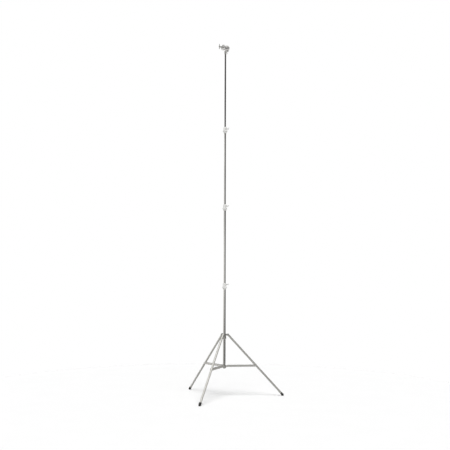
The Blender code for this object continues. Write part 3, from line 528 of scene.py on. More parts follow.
def round_radius(node: str) -> float:
    """Half the width of a node that was turned on a vertical axis."""
    low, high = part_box(node)
    return (high.x - low.x) / 2


def height_of(node: str) -> float:
    """The height of a node's box."""
    low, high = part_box(node)
    return high.z - low.z


def above(node: str, height: float) -> Matrix:
    """The place at a height on the vertical axis that a node stands on."""
    middle = middle_of(node)
    return Matrix.Translation((middle.x, middle.y, height))


def standing(node: str) -> Matrix:
    """The place at the lower end of a node that stands upright."""
    return above(node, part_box(node)[0].z)


def spot_of(joint: str) -> Vector:
    """Where a joint is."""
    return Vector(JOINTS[joint]["pos_m"])


def on_joint(joint: str) -> Matrix:
    """The place on a joint, with Z along its axis and X upwards."""
    return frame_of(spot_of(joint), Vector(JOINTS[joint]["axis"]), UP)


def turned_to(way: Vector) -> Matrix:
    """The turn about Z that points X along a level direction."""
    return Matrix.Rotation(math.atan2(way.y, way.x), 4, "Z")


def reach_along(node: str, place: Matrix) -> tuple[float, float]:
    """How far a node reaches along the Z of a place.

    Args:
        node: The CAD node.
        place: The place whose Z is followed.

    Returns:
        The lowest and the highest distance from the place.
    """
    into = place.inverted()
    reach = [(into @ vertex.co).z for vertex in frame["nodes"][node].data.vertices]
    return min(reach), max(reach)


# Finishes


class Graph:
    """Adds nodes to one node tree and links them."""

    def __init__(self, tree: bpy.types.NodeTree) -> None:
        """Keep the tree and start at its left."""
        self.tree = tree
        self.entry: bpy.types.Node | None = None
        self.count = 0

    def given(self, *names: str) -> list[Socket]:
        """The sockets of a group's inputs, by name."""
        return [self.entry.outputs[name] for name in names]

    def feed(self, socket: Socket, value: Value) -> None:
        """Link an input to another node's socket, or set its value.

        Args:
            socket: The input.
            value: What feeds it.
        """
        if isinstance(value, bpy.types.NodeSocket):
            self.tree.links.new(value, socket)
        else:
            socket.default_value = value

    def node(
        self,
        kind: str,
        sockets: dict[int | str, Value] | None = None,
        **settings: str | bool | bpy.types.NodeTree,
    ) -> bpy.types.Node:
        """Add one node.

        Args:
            kind: The node's type.
            sockets: Input name or number to a value or to the socket that feeds it.
            settings: The node's own properties.

        Returns:
            The new node.
        """
        node = self.tree.nodes.new(kind)
        node.location = (180.0 * self.count, 0.0)
        self.count += 1
        for name, value in settings.items():
            setattr(node, name, value)
        for key, value in (sockets or {}).items():
            self.feed(node.inputs[key], value)
        return node

    def maths(self, kind: str, first: Value, second: Value, clamp: bool = False) -> Socket:
        """The result of one Math node on two values."""
        sockets = {0: first, 1: second}
        return self.node("ShaderNodeMath", sockets, operation=kind, use_clamp=clamp).outputs[0]

    def plus(self, first: Value, second: Value, clamp: bool = False) -> Socket:
        """The sum of two values."""
        return self.maths("ADD", first, second, clamp)

    def minus(self, first: Value, second: Value) -> Socket:
        """The first value less the second."""
        return self.maths("SUBTRACT", first, second)

    def times(self, first: Value, second: Value, clamp: bool = False) -> Socket:
        """The product of two values."""
        return self.maths("MULTIPLY", first, second, clamp)

    def weighed(self, first: Value, share: float, second: Value) -> Socket:
        """The sum of a share of the first value and the rest of the second."""
        return self.plus(self.times(first, share), self.times(second, 1 - share))

    def noise(self, vector: Value, scale: Value, detail: float, rough: float = 0.55) -> Socket:
        """The value of one Noise Texture node."""
        sockets = {"Vector": vector, "Scale": scale, "Detail": detail, "Roughness": rough}
        return self.node("ShaderNodeTexNoise", sockets).outputs[0]

    def vector_maths(self, kind: str, first: Value, second: Value, output: str) -> Socket:
        """One result of a Vector Math node on two vectors."""
        node = self.node("ShaderNodeVectorMath", {0: first, 1: second}, operation=kind)
        return node.outputs[output]

    def along(self, vector: Value, way: Vector) -> Socket:
        """How far a vector reaches along a direction."""
        return self.vector_maths("DOT_PRODUCT", vector, tuple(way), "Value")

    def stretched(self, vector: Value, scale: Colour, turn: float = 0.0) -> Socket:
        """A vector turned about Y and scaled by axis."""
        turned = self.node("ShaderNodeMapping", {"Vector": vector, "Rotation": (0.0, turn, 0.0)})
        return self.vector_maths("MULTIPLY", turned.outputs[0], scale, "Vector")

    def height(self, vector: Value) -> Socket:
        """The Z of a vector."""
        return self.node("ShaderNodeSeparateXYZ", {0: vector}).outputs["Z"]

    def spread(
        self, value: Value, low: Value, high: Value, start: Value = 0.0, end: Value = 1.0
    ) -> Socket:
        """A value between low and high spread over start to end, clamped."""
        ends = {"From Min": low, "From Max": high, "To Min": start, "To Max": end}
        return self.node("ShaderNodeMapRange", {"Value": value, **ends}, clamp=True).outputs[0]

    def blend(self, factor: Value, first: Value, second: Value) -> Socket:
        """Mix two colours.

        Args:
            factor: How much of the second one there is.
            first: Three numbers or a socket.
            second: Three numbers or a socket.

        Returns:
            The mixed colour.
        """
        node = self.node("ShaderNodeMix", data_type="RGBA")
        for name, value in {"Factor": factor, "A": first, "B": second}.items():
            socket = next(s for s in node.inputs if s.name == name and s.enabled)
            self.feed(socket, (*value, 1.0) if isinstance(value, tuple) else value)
        return next(s for s in node.outputs if s.enabled)

    def effect(self, group: bpy.types.NodeTree, **sockets: Value) -> Socket:
        """The output of a shared group with its inputs fed."""
        return self.node("ShaderNodeGroup", sockets, node_tree=group).outputs[0]


class Effects:
    """The shader groups that several finishes share, each built once."""

    def __init__(self) -> None:
        """Build every group."""
        self.smudges = self.group(
            self.smudge_mask, "hand_smudges", "Mask", Scale=9.0, Contrast=0.22
        )
        self.scratches = self.group(
            self.scratch_mask, "hair_scratches", "Mask", Scale=160.0, Amount=0.5
        )
        self.edge_wear = self.group(self.wear_mask, "worn_edges", "Mask", Start=0.53, End=0.62)
        self.marks = {
            ToolMarks.LENGTHWISE: self.group(
                self.lengthwise_height, "lengthwise_marks", "Height", Fineness=1500.0
            ),
            ToolMarks.ROUND: self.group(
                self.turned_height, "turning_marks", "Height", Fineness=2400.0
            ),
            ToolMarks.CAST: self.group(self.cast_height, "cast_skin", "Height", Fineness=900.0),
        }

    def group(
        self, draw: Callable[[Graph], Socket], name: str, output: str, **numbers: float
    ) -> bpy.types.NodeTree:
        """Make one group with a vector input, number inputs and one output.

        Args:
            draw: Fills the group and returns the socket to put out.
            name: The group's name.
            output: The name of its output value.
            numbers: Its number inputs and their default values.

        Returns:
            The group's node tree.
        """
        tree = bpy.data.node_groups.new(name, "ShaderNodeTree")
        tree.interface.new_socket("Vector", in_out="INPUT", socket_type="NodeSocketVector")
        for number, value in numbers.items():
            kind = "NodeSocketFloat"
            socket = tree.interface.new_socket(number, in_out="INPUT", socket_type=kind)
            socket.default_value = value
        tree.interface.new_socket(output, in_out="OUTPUT", socket_type="NodeSocketFloat")
        graph = Graph(tree)
        graph.entry = graph.node("NodeGroupInput")
        graph.node("NodeGroupOutput", {output: draw(graph)})
        return tree

    def smudge_mask(self, graph: Graph) -> Socket:
        """Soft patches where hands and cloths have been.

        Args:
            graph: The group's graph.

        Returns:
            A mask from 0 to 1.
        """
        place, scale, contrast = graph.given("Vector", "Scale", "Contrast")
        finer, wide_share = 6.3, 0.7
        wide = graph.noise(place, scale, detail=4.0)
        small = graph.noise(place, graph.times(scale, finer), detail=3.0)
        both = graph.weighed(wide, wide_share, small)
        return graph.spread(both, graph.minus(0.5, contrast), graph.plus(0.5, contrast))

    def lengthwise_height(self, graph: Graph) -> Socket:
        """Fine polishing lines along the piece's Z.

        Args:
            graph: The group's graph.

        Returns:
            A height from 0 to 1.
        """
        place, fineness = graph.given("Vector", "Fineness")
        flattened, coarser, coarse_share = 0.012, 0.23, 0.4
        lines = graph.stretched(place, (1.0, 1.0, flattened))
        coarse = graph.noise(lines, graph.times(fineness, coarser), detail=2.0)
        fine = graph.noise(lines, fineness, detail=3.0)
        return graph.weighed(coarse, coarse_share, fine)

    def turned_height(self, graph: Graph) -> Socket:
        """Fine lines round the piece's Z, as a lathe tool leaves them.

        Args:
            graph: The group's graph.

        Returns:
            A height from 0 to 1.
        """
        place, fineness = graph.given("Vector", "Fineness")
        wobbles, fine_share = 60.0, 0.85
        flat = graph.stretched(place, (1.0, 1.0, 0.0))
        radius = graph.vector_maths("LENGTH", flat, (0.0, 0.0, 0.0), "Value")
        sockets = {"X": radius, "Y": 0.0, "Z": graph.height(place)}
        lines = graph.node("ShaderNodeCombineXYZ", sockets).outputs[0]
        wobble = graph.noise(place, wobbles, detail=1.0)
        return graph.weighed(graph.noise(lines, fineness, detail=2.0), fine_share, wobble)

    def cast_height(self, graph: Graph) -> Socket:
        """The fine sandy skin of a casting, with a few shallow dips.

        Args:
            graph: The group's graph.

        Returns:
            A height from 0 to 1.
        """
        place, fineness = graph.given("Vector", "Fineness")
        coarser, sand_share = 0.16, 0.55
        sand = graph.noise(place, fineness, detail=3.0, rough=0.6)
        wide = graph.noise(place, graph.times(fineness, coarser), detail=2.0)
        return graph.weighed(sand, sand_share, wide)

    def scratch_mask(self, graph: Graph) -> Socket:
        """Hairline scratches that run two ways across the piece.

        Args:
            graph: The group's graph.

        Returns:
            A mask that is 1 in a scratch.
        """
        place, scale, amount = graph.given("Vector", "Scale", "Amount")
        turns, line, finer = (0.6, -0.9), (1.0, 0.35, 0.03), 7.0
        line_edge, patch_edge = (0.73, 0.77), (0.42, 0.6)
        masks = []
        for turn in turns:
            lines = graph.stretched(place, line, turn)
            value = graph.noise(lines, graph.times(scale, finer), detail=1.5, rough=0.4)
            masks.append(graph.spread(value, *line_edge))
        patches = graph.spread(graph.noise(place, scale, detail=2.0), *patch_edge)
        return graph.times(graph.times(graph.maths("MAXIMUM", *masks), patches), amount, True)

    def wear_mask(self, graph: Graph) -> Socket:
        """Outer edges that have been rubbed, broken up by noise.

        Args:
            graph: The group's graph.

        Returns:
            A mask that is 1 on a worn edge.
        """
        place, start, end = graph.given("Vector", "Start", "End")
        breaks, break_edge, least = 220.0, (0.35, 0.6), 0.25
        crest = graph.node("ShaderNodeNewGeometry").outputs["Pointiness"]
        broken = graph.spread(graph.noise(place, breaks, detail=3.0), *break_edge, least)
        return graph.times(graph.spread(crest, start, end), broken, clamp=True)


@dataclass(frozen=True)
class Finish:
    """One finish and how it has worn.

    Attributes:
        slot: The record's material slot.
        colour: The clean colour.
        dulled: The colour where hands, air and dirt have dulled it.
        worn: The colour of rubbed outer edges.
        roughness: Roughness where it is cleanest and where it is dullest.
        metallic: 1 for bare or plated metal, 0 for the rest.
        marks: Which way the marks of making run.
        fineness: How many marks or grains there are in a metre.
        depth: How deep the marks are, in metres.
        smudge_scale: How many smudges there are in a metre.
        scratches: How many of the scratch lines show, 0 to 1.
        marks_dulling: How much the marks change the roughness.
        scratch_dulling: How much a scratch adds to it.
        scratch_depth: How deep a scratch is, in depths of the marks.
    """

    slot: Slot
    colour: Colour
    dulled: Colour
    worn: Colour
    roughness: tuple[float, float]
    metallic: float = 1.0
    marks: ToolMarks = ToolMarks.CAST
    fineness: float = 900.0
    depth: float = 0.00003
    smudge_scale: float = 14.0
    scratches: float = 0.4
    marks_dulling: float = 0.12
    scratch_dulling: float = 0.15
    scratch_depth: float = 0.6

    def material(self, effects: Effects) -> bpy.types.Material:
        """Build the finish as a material.

        Args:
            effects: The shared shader groups.

        Returns:
            The new material.
        """
        material = bpy.data.materials.new(self.slot.value)
        material.use_nodes = True
        graph = Graph(material.node_tree)
        place = graph.node("ShaderNodeAttribute", attribute_name=PLACE_ATTRIBUTE).outputs["Vector"]
        smudge = graph.effect(effects.smudges, Vector=place, Scale=self.smudge_scale)
        scratch = graph.effect(effects.scratches, Vector=place, Amount=self.scratches)
        wear = graph.effect(effects.edge_wear, Vector=place)
        marks = graph.effect(effects.marks[self.marks], Vector=place, Fineness=self.fineness)

        body = graph.blend(smudge, self.colour, self.dulled)
        ripple = graph.times(graph.minus(marks, 0.5), self.marks_dulling)
        rough = graph.plus(graph.spread(smudge, 0.0, 1.0, *self.roughness), ripple)
        height = graph.minus(marks, graph.times(scratch, self.scratch_depth))
        sockets = {"Height": height, "Distance": self.depth, "Strength": 1.0}
        inputs = {
            "Base Color": graph.blend(wear, body, self.worn),
            "Roughness": graph.plus(rough, graph.times(scratch, self.scratch_dulling), clamp=True),
            "Metallic": self.metallic,
            "Normal": graph.node("ShaderNodeBump", sockets).outputs[0],
        }
        shader = material.node_tree.nodes["Principled BSDF"]
        for name, value in inputs.items():
            graph.feed(shader.inputs[name], value)
        return material


class Workshop:
    """Holds the finishes and turns shapes into pieces of the stand."""

    def __init__(self) -> None:
        """Build the shader groups; a finish's material is made on its first use."""
        self.effects = Effects()
        self.materials: dict[Finish, bpy.types.Material] = {}

    def material(self, finish: Finish) -> bpy.types.Material:
        """Get the material of a finish, made on its first use.

        Args:
            finish: The finish.

        Returns:
            Its material.
        """
        if finish not in self.materials:
            self.materials[finish] = finish.material(self.effects)
        return self.materials[finish]

    def add(
        self, name: str, shape: BMesh, finish: Finish, node: str, place: Matrix
    ) -> bpy.types.Object:
        """Make a piece of a shape, in the place of one CAD node.

        Args:
            name: The piece's name.
            shape: Its shape in its own frame; it is freed.
            finish: What it is finished in.
            node: The CAD node that it stands for.
            place: The matrix from its own frame to the stand's.

        Returns:
            The new object.
        """
        layer = shape.verts.layers.float_vector.new(PLACE_ATTRIBUTE)
        for vertex in shape.verts:
            vertex[layer] = vertex.co
        piece = object_of(name, moved_by(shape, place))
        mesh = piece.data
        mesh.materials.append(self.material(finish))
        mesh.shade_smooth()
        mesh.set_sharp_from_angle(angle=SHARP_ANGLE)
        shading = piece.modifiers.new("even_shading", "WEIGHTED_NORMAL")
        shading.weight = FLAT_FACE_WEIGHT
        shading.keep_sharp = True
        body = frame["nodes"][node]["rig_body"]
        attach(piece, body)
        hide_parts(node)
        log.info("%s: %d faces, rides on %s", name, len(mesh.polygons), body)
        return piece


COLUMN_CHROME = Finish(
    Slot.COLUMN_CHROME, (0.63, 0.62, 0.595), (0.53, 0.52, 0.49), (0.66, 0.65, 0.63), (0.08, 0.19),
    marks=ToolMarks.LENGTHWISE, fineness=1500.0, depth=0.000006, scratches=0.5,
)
# A darker copy of the column chrome for the top riser: its darker colours are painted shade,
# standing in for the darker reflections along that riser.
SHADE_DARKENED_TOP_RISER_CHROME = replace(
    COLUMN_CHROME, colour=(0.33, 0.323, 0.31), dulled=(0.27, 0.264, 0.253), worn=(0.38, 0.372, 0.36)
)
LEG_STEEL = Finish(
    Slot.LEG_STEEL, (0.70, 0.69, 0.65), (0.61, 0.60, 0.56), (0.74, 0.73, 0.70), (0.30, 0.42),
    metallic=0.85, marks=ToolMarks.LENGTHWISE, fineness=1300.0, depth=0.000008, scratches=0.35,
)
CAST_COLLAR = Finish(
    Slot.CAST_COLLAR, (0.78, 0.78, 0.76), (0.70, 0.70, 0.68), (0.86, 0.86, 0.85), (0.38, 0.52),
    metallic=0.40, fineness=1100.0, depth=0.00005, scratches=0.35,
)
# A darker, more metallic copy of the collar casting for the hub, the leg collar, the head socket
# and the tee nut: its darker colours are painted shade, standing in for the shade under the hub.
SHADE_DARKENED_CASTING = replace(
    CAST_COLLAR, colour=(0.56, 0.555, 0.53), dulled=(0.43, 0.425, 0.40), worn=(0.70, 0.69, 0.67),
    metallic=0.85,
)
ZINC_FASTENER = Finish(
    Slot.ZINC_FASTENER, (0.66, 0.67, 0.68), (0.54, 0.55, 0.56), (0.74, 0.74, 0.73), (0.24, 0.40),
    marks=ToolMarks.ROUND, fineness=2600.0, depth=0.00001,
)
DARK_RUBBER = Finish(
    Slot.DARK_RUBBER, (0.014, 0.014, 0.013), (0.030, 0.029, 0.026), (0.055, 0.052, 0.047),
    (0.62, 0.82), metallic=0.0, fineness=1400.0, depth=0.00006, smudge_scale=30.0,
)
BLACK_PLASTIC = Finish(
    Slot.BLACK_PLASTIC, (0.022, 0.022, 0.022), (0.040, 0.040, 0.039), (0.075, 0.075, 0.073),
    (0.38, 0.55), metallic=0.0, fineness=2200.0, depth=0.00002, smudge_scale=40.0,
)
BRASS_SHOE = Finish(
    Slot.BRASS_SHOE, (0.74, 0.56, 0.27), (0.52, 0.38, 0.18), (0.84, 0.68, 0.38), (0.25, 0.45),
    marks=ToolMarks.ROUND, fineness=2600.0, depth=0.00001,
)
HEAD_CASTING = Finish(
    Slot.HEAD_CASTING, (0.80, 0.79, 0.775), (0.68, 0.67, 0.655), (0.86, 0.85, 0.84), (0.26, 0.42),
    metallic=0.65, fineness=950.0, depth=0.00006, scratches=0.5,
)
JAW_STEEL = Finish(
    Slot.JAW_STEEL, (0.70, 0.69, 0.675), (0.57, 0.56, 0.545), (0.78, 0.77, 0.75), (0.18, 0.34),
    marks=ToolMarks.ROUND, fineness=1500.0, depth=0.00002, scratches=0.6,
)
SPRING_STEEL = Finish(
    Slot.SPRING_STEEL, (0.38, 0.38, 0.38), (0.26, 0.255, 0.25), (0.46, 0.46, 0.45), (0.24, 0.42),
    fineness=2400.0, depth=0.00001,
)
FRICTION_FIBRE = Finish(
    Slot.FRICTION_FIBRE, (0.145, 0.115, 0.092), (0.20, 0.17, 0.14), (0.25, 0.21, 0.18),
    (0.72, 0.90), metallic=0.0, fineness=1800.0, depth=0.00008,
)


# Column


@dataclass
class Column:
    """The base tube, the risers and what is fixed in their ends.

    Attributes:
        workshop: Makes the pieces.
        wall: Wall of every tube.
        rim_round: Rounding of the tube ends and of the glides.
        plug_lip: Height of the plug's visible rim.
        plug_wall: Wall of its hollow spigot.
        plug_round: Rounding of its corners.
        dish: Depth of the dish under it in lips, and radii of the dish's floor and rim in plugs.
        glide_bore: Radius of the air hole through a glide.
        grooves: Where the grooves round a glide start, and their width, in flange heights.
        groove_depth: Their depth.
    """

    workshop: Workshop
    wall: float = 0.0015
    rim_round: float = 0.0004
    plug_lip: float = 0.004
    plug_wall: float = 0.003
    plug_round: float = 0.001
    dish: tuple[float, float, float] = (0.4, 0.55, 0.65)
    glide_bore: float = 0.005
    grooves: tuple[tuple[float, float], ...] = ((0.25, 0.15), (0.55, 0.15))
    groove_depth: float = 0.0006

    def build(self) -> None:
        """Build the tubes, the plug and the glides."""
        self.tube("base_tube", "base_column", COLUMN_CHROME)
        self.plug("column_plug")
        for number in RISER_NUMBERS:
            # The top riser takes the darker copy of the chrome, which paints in shade.
            finish = SHADE_DARKENED_TOP_RISER_CHROME if number == RISER_NUMBERS[-1] else COLUMN_CHROME
            self.tube(f"riser_tube_{number}", f"riser_{number}", finish)
            self.glide(number)

    def tube(self, name: str, node: str, finish: Finish) -> None:
        """Build one tube as long and as wide as its node.

        Args:
            name: The piece's name.
            node: The CAD node that it stands for.
            finish: What it is finished in.
        """
        outer = round_radius(node)
        shape = lathe(oblong(outer - self.wall, outer, 0.0, height_of(node)), self.rim_round)
        self.workshop.add(name, shape, finish, node, standing(node))

    def plug(self, node: str) -> None:
        """Build the plastic plug, with a rounded lip and a shallow dish below.

        Args:
            node: The CAD node that it stands for.
        """
        radius, length, lip = round_radius(node), height_of(node), self.plug_lip
        spigot = radius - self.wall - TOUCH_GAP
        bore = spigot - self.plug_wall
        depth, floor, edge = self.dish
        corners = [(0.0, depth * lip), (floor * radius, depth * lip), (edge * radius, 0.0)]
        corners += [(radius, 0.0), (radius, lip), (spigot, lip), (spigot, length)]
        corners += [(bore, length), (bore, lip), (0.0, lip)]
        shape = lathe(corners, self.plug_round)
        self.workshop.add("base_tube_plug", shape, BLACK_PLASTIC, node, standing(node))

    def glide(self, number: int) -> None:
        """Build the grooved plastic glide in a riser's lower end.

        Args:
            number: The riser's number.
        """
        node, riser = f"riser_glide_{number}", f"riser_{number}"
        guide, length = round_radius(node), height_of(node)
        spigot = round_radius(riser) - self.wall - TOUCH_GAP
        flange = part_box(riser)[0].z - TOUCH_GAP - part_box(node)[0].z
        root = guide - self.groove_depth
        corners = [(self.glide_bore, 0.0), (guide, 0.0)]
        for start, width in self.grooves:
            low, high = start * flange, (start + width) * flange
            corners += [(guide, low), (root, low), (root, high), (guide, high)]
        corners += [(guide, flange), (spigot, flange), (spigot, length), (self.glide_bore, length)]
        shape = lathe(corners, self.rim_round)
        self.workshop.add(f"riser_guide_{number}", shape, BLACK_PLASTIC, node, standing(node))


# Locking screws


@dataclass
class TeeScrew:
    """A tee screw and the pressure shoe that it pushes.

    Attributes:
        workshop: Makes the pieces.
        name: What the screw's pieces and nodes are named after.
        screw: Radius of the screw over its thread.
        pitch: Distance from crest to crest of the thread.
        tip: Chamfer of the screw's tip, in pitches.
        neck: Length of the plain neck in pitches, and its radius in screw radii.
        shoe_round: Rounding of the shoe's ends.
        hub: Radius and length of the thick part that the bar goes through.
        hub_round: Rounding of the hub's ends.
        bar: Radius and length of the cross bar.
        bar_round: Rounding of the bar's ends, in bar radii.
        bar_turn: How far the bar has turned from upright, in degrees.
    """

    workshop: Workshop
    name: str
    screw: float = 0.004
    pitch: float = 0.00125
    tip: float = 0.5
    neck: tuple[float, float] = (1.5, 0.85)
    shoe_round: float = 0.0005
    hub: tuple[float, float] = (0.0075, 0.016)
    hub_round: float = 0.0015
    bar: tuple[float, float] = (0.0042, 0.060)
    bar_round: float = 0.8
    bar_turn: float = 0.0

    def build(self) -> None:
        """Build the shoe and the tee screw along the joint's axis."""
        place = on_joint(f"{self.name}_tee_turn")
        self.shoe(f"{self.name}_shoe", place)
        self.tee(f"{self.name}_tee", place)

    def shoe(self, node: str, place: Matrix) -> None:
        """Build the shoe, rounded at both ends.

        Args:
            node: The CAD node that it stands for.
            place: The screw's place.
        """
        profile = oblong(0.0, self.screw, *reach_along(node, place))
        shape = lathe(profile, self.shoe_round, SMALL_ROUND_STEPS)
        self.workshop.add(f"{self.name}_pressure_shoe", shape, BRASS_SHOE, node, place)

    def tee(self, node: str, place: Matrix) -> None:
        """Build the threaded shank, the hub and the cross bar as one piece.

        Args:
            node: The CAD node that it stands for.
            place: The screw's place.
        """
        start, end = reach_along(node, place)
        hub_radius, hub_length = self.hub
        hub_start = end - hub_length
        plain, share = self.neck
        neck_start, neck = hub_start - plain * self.pitch, share * self.screw
        chamfer = self.tip * self.pitch
        corners = [(0.0, start), (self.screw - chamfer, start), (self.screw, start + chamfer)]
        corners += threaded(self.screw, start + chamfer, neck_start, self.pitch)
        corners += [(neck, neck_start), (neck, hub_start)]
        corners += rounded(oblong(0.0, hub_radius, hub_start, end), self.hub_round, False)[1:]
        shank = lathe(corners, steps=SMALL_ROUND_STEPS)
        radius, half = self.bar[0], self.bar[1] / 2
        bar = lathe(oblong(0.0, radius, -half, half), self.bar_round * radius, SMALL_ROUND_STEPS)
        turn = Matrix.Rotation(math.radians(self.bar_turn), 4, "Z")
        bar = shifted(moved_by(lying(bar, Axis.X), turn), z=end - hub_length / 2)
        self.workshop.add(f"{self.name}_tee_screw", joined(shank, bar), CAST_COLLAR, node, place)


@dataclass
class ClampCollar:
    """The collar on the top of a column tube, its set screw and its tee screw.

    Attributes:
        workshop: Makes the pieces.
        number: 1 for the lowest collar.
        above_tube: How far the collar stands above the tube's end.
        below_tube: How far it reaches down over the tube.
        body: Radius of its body.
        skirt: Radius of the raised band round its middle.
        skirt_top: Height of the band's upper edge over the tube's end.
        skirt_flare: Height of the slope on each side of the band.
        skirt_height: Height of the band between its slopes.
        top: Radius of its upper rim, and how far down the taper to it starts.
        foot: Radius of its lower rim.
        edge_round: Rounding of its edges.
        boss: Radius of the screw boss and how far it reaches from the axis.
        boss_root: How deep in the body the boss starts, and its radius there in boss radii.
        boss_flare: Where its flare starts and ends over the body, and the start's radius in bosses.
        boss_round: Rounding of its edges.
        hole: Radius of the tee screw's hole.
        sink: Radius, depth and height over the boss of the cutter that eases the hole's rim.
        screw_height: Height of the tee screw over the tube's end.
        set_screw: Radius of the set screw and its depth below the tube's end.
        set_pitch: Pitch of its thread.
        set_ends: Chamfers of its tip and of its head.
        socket: Corner radius and depth of its socket.
        tee_turns: How far the tee bar of each collar has turned from upright, in degrees.
    """

    workshop: Workshop
    number: int
    above_tube: float = 0.050
    below_tube: float = 0.052
    body: float = 0.028
    skirt: float = 0.037
    skirt_top: float = -0.008
    skirt_flare: float = 0.007
    skirt_height: float = 0.012
    top: tuple[float, float] = (0.0225, 0.012)
    foot: float = 0.0245
    edge_round: float = 0.0018
    boss: tuple[float, float] = (0.011, 0.040)
    boss_root: tuple[float, float] = (0.003, 1.5)
    boss_flare: tuple[float, float, float] = (0.001, 0.005, 1.12)
    boss_round: float = 0.0015
    hole: float = 0.0043
    sink: tuple[float, float, float] = (0.006, 0.0008, 0.0009)
    screw_height: float = 0.030
    set_screw: tuple[float, float] = (0.003, 0.043)
    set_pitch: float = 0.0008
    set_ends: tuple[float, float] = (0.0004, 0.0006)
    socket: tuple[float, float] = (0.0017, 0.0016)
    tee_turns: tuple[float, ...] = (80.0, 65.0, 50.0)

    def build(self) -> None:
        """Build the collar, the set screw and the tee screw."""
        outer_tube = "base_column" if self.number == 1 else f"riser_{self.number - 1}"
        place = above(outer_tube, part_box(outer_tube)[1].z)
        tube_bore = round_radius(outer_tube) + TOUCH_GAP
        self.collar(place, tube_bore, round_radius(f"riser_{self.number}") + TOUCH_GAP)
        self.fixing(place.translation)
        turn = self.tee_turns[self.number - 1]
        TeeScrew(self.workshop, f"clamp_{self.number}", bar_turn=turn).build()

    def collar(self, place: Matrix, tube_bore: float, riser_bore: float) -> None:
        """Build the collar itself.

        Args:
            place: The tube's upper end.
            tube_bore: Radius of the bore over the outer tube.
            riser_bore: Radius of the bore round the riser.
        """
        band_low = self.skirt_top - self.skirt_flare - self.skirt_height
        top_radius, taper = self.top
        corners = [(self.foot, -self.below_tube), (self.body, band_low - self.skirt_flare)]
        corners += [(self.skirt, band_low), (self.skirt, self.skirt_top - self.skirt_flare)]
        corners += [(self.body, self.skirt_top), (self.body, self.above_tube - taper)]
        corners += [(top_radius, self.above_tube), (riser_bore, self.above_tube)]
        corners += [(riser_bore, TOUCH_GAP), (tube_bore, TOUCH_GAP), (tube_bore, -self.below_tube)]
        boss = shifted(self.screw_boss(), z=self.screw_height)
        shape = joined(lathe(corners, self.edge_round), boss)
        reach = self.boss[1]
        radius, depth, over = self.sink
        flare = [(0.0, reach - depth), (self.hole, reach - depth)]
        flare += [(radius, reach + over), (0.0, reach + over)]
        sink = lying(lathe(flare, steps=SMALL_ROUND_STEPS), Axis.X)
        for tool in (drill(self.hole, 0.0, 2 * reach, Axis.X), sink):
            shape = cut(shape, shifted(tool, z=self.screw_height))
        radius, depth = self.set_screw
        fixing_hole = drill(radius + TOUCH_GAP, -2 * self.skirt, 0.0, Axis.X)
        shape = cut(shape, shifted(fixing_hole, z=-depth))
        node = f"clamp_collar_{self.number}"
        self.workshop.add(f"clamp_ring_{self.number}", shape, CAST_COLLAR, node, place)

    def screw_boss(self) -> BMesh:
        """Build the boss of the tee screw along X.

        Returns:
            The boss, without its hole.
        """
        radius, reach = self.boss
        depth, root_share = self.boss_root
        start, end, flare_share = self.boss_flare
        side = [(0.0, self.body - depth), (root_share * radius, self.body - depth)]
        side += [(flare_share * radius, self.body + start), (radius, self.body + end)]
        side += [(radius, reach), (0.0, reach)]
        return lying(lathe(side, self.boss_round, BOSS_STEPS), Axis.X)

    def fixing(self, top: Vector) -> None:
        """Build the set screw that pins the collar to its tube.

        Args:
            top: The middle of the tube's upper end.
        """
        node = f"collar_screw_{self.number}"
        radius, depth = self.set_screw
        tip, end = self.set_ends
        low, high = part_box(node)
        length = high.x - low.x
        corners = [(0.0, 0.0), (radius - tip, 0.0), (radius, tip)]
        corners += threaded(radius, tip, length - end, self.set_pitch)
        corners += [(radius - end, length), (0.0, length)]
        shape = cut(lathe(corners, steps=SMALL_ROUND_STEPS), hex_socket(self.socket, length))
        place = frame_of(Vector((high.x, top.y, top.z - depth)), Vector((-1.0, 0.0, 0.0)), UP)
        self.workshop.add(f"set_screw_{self.number}", shape, ZINC_FASTENER, node, place)


# Folding base


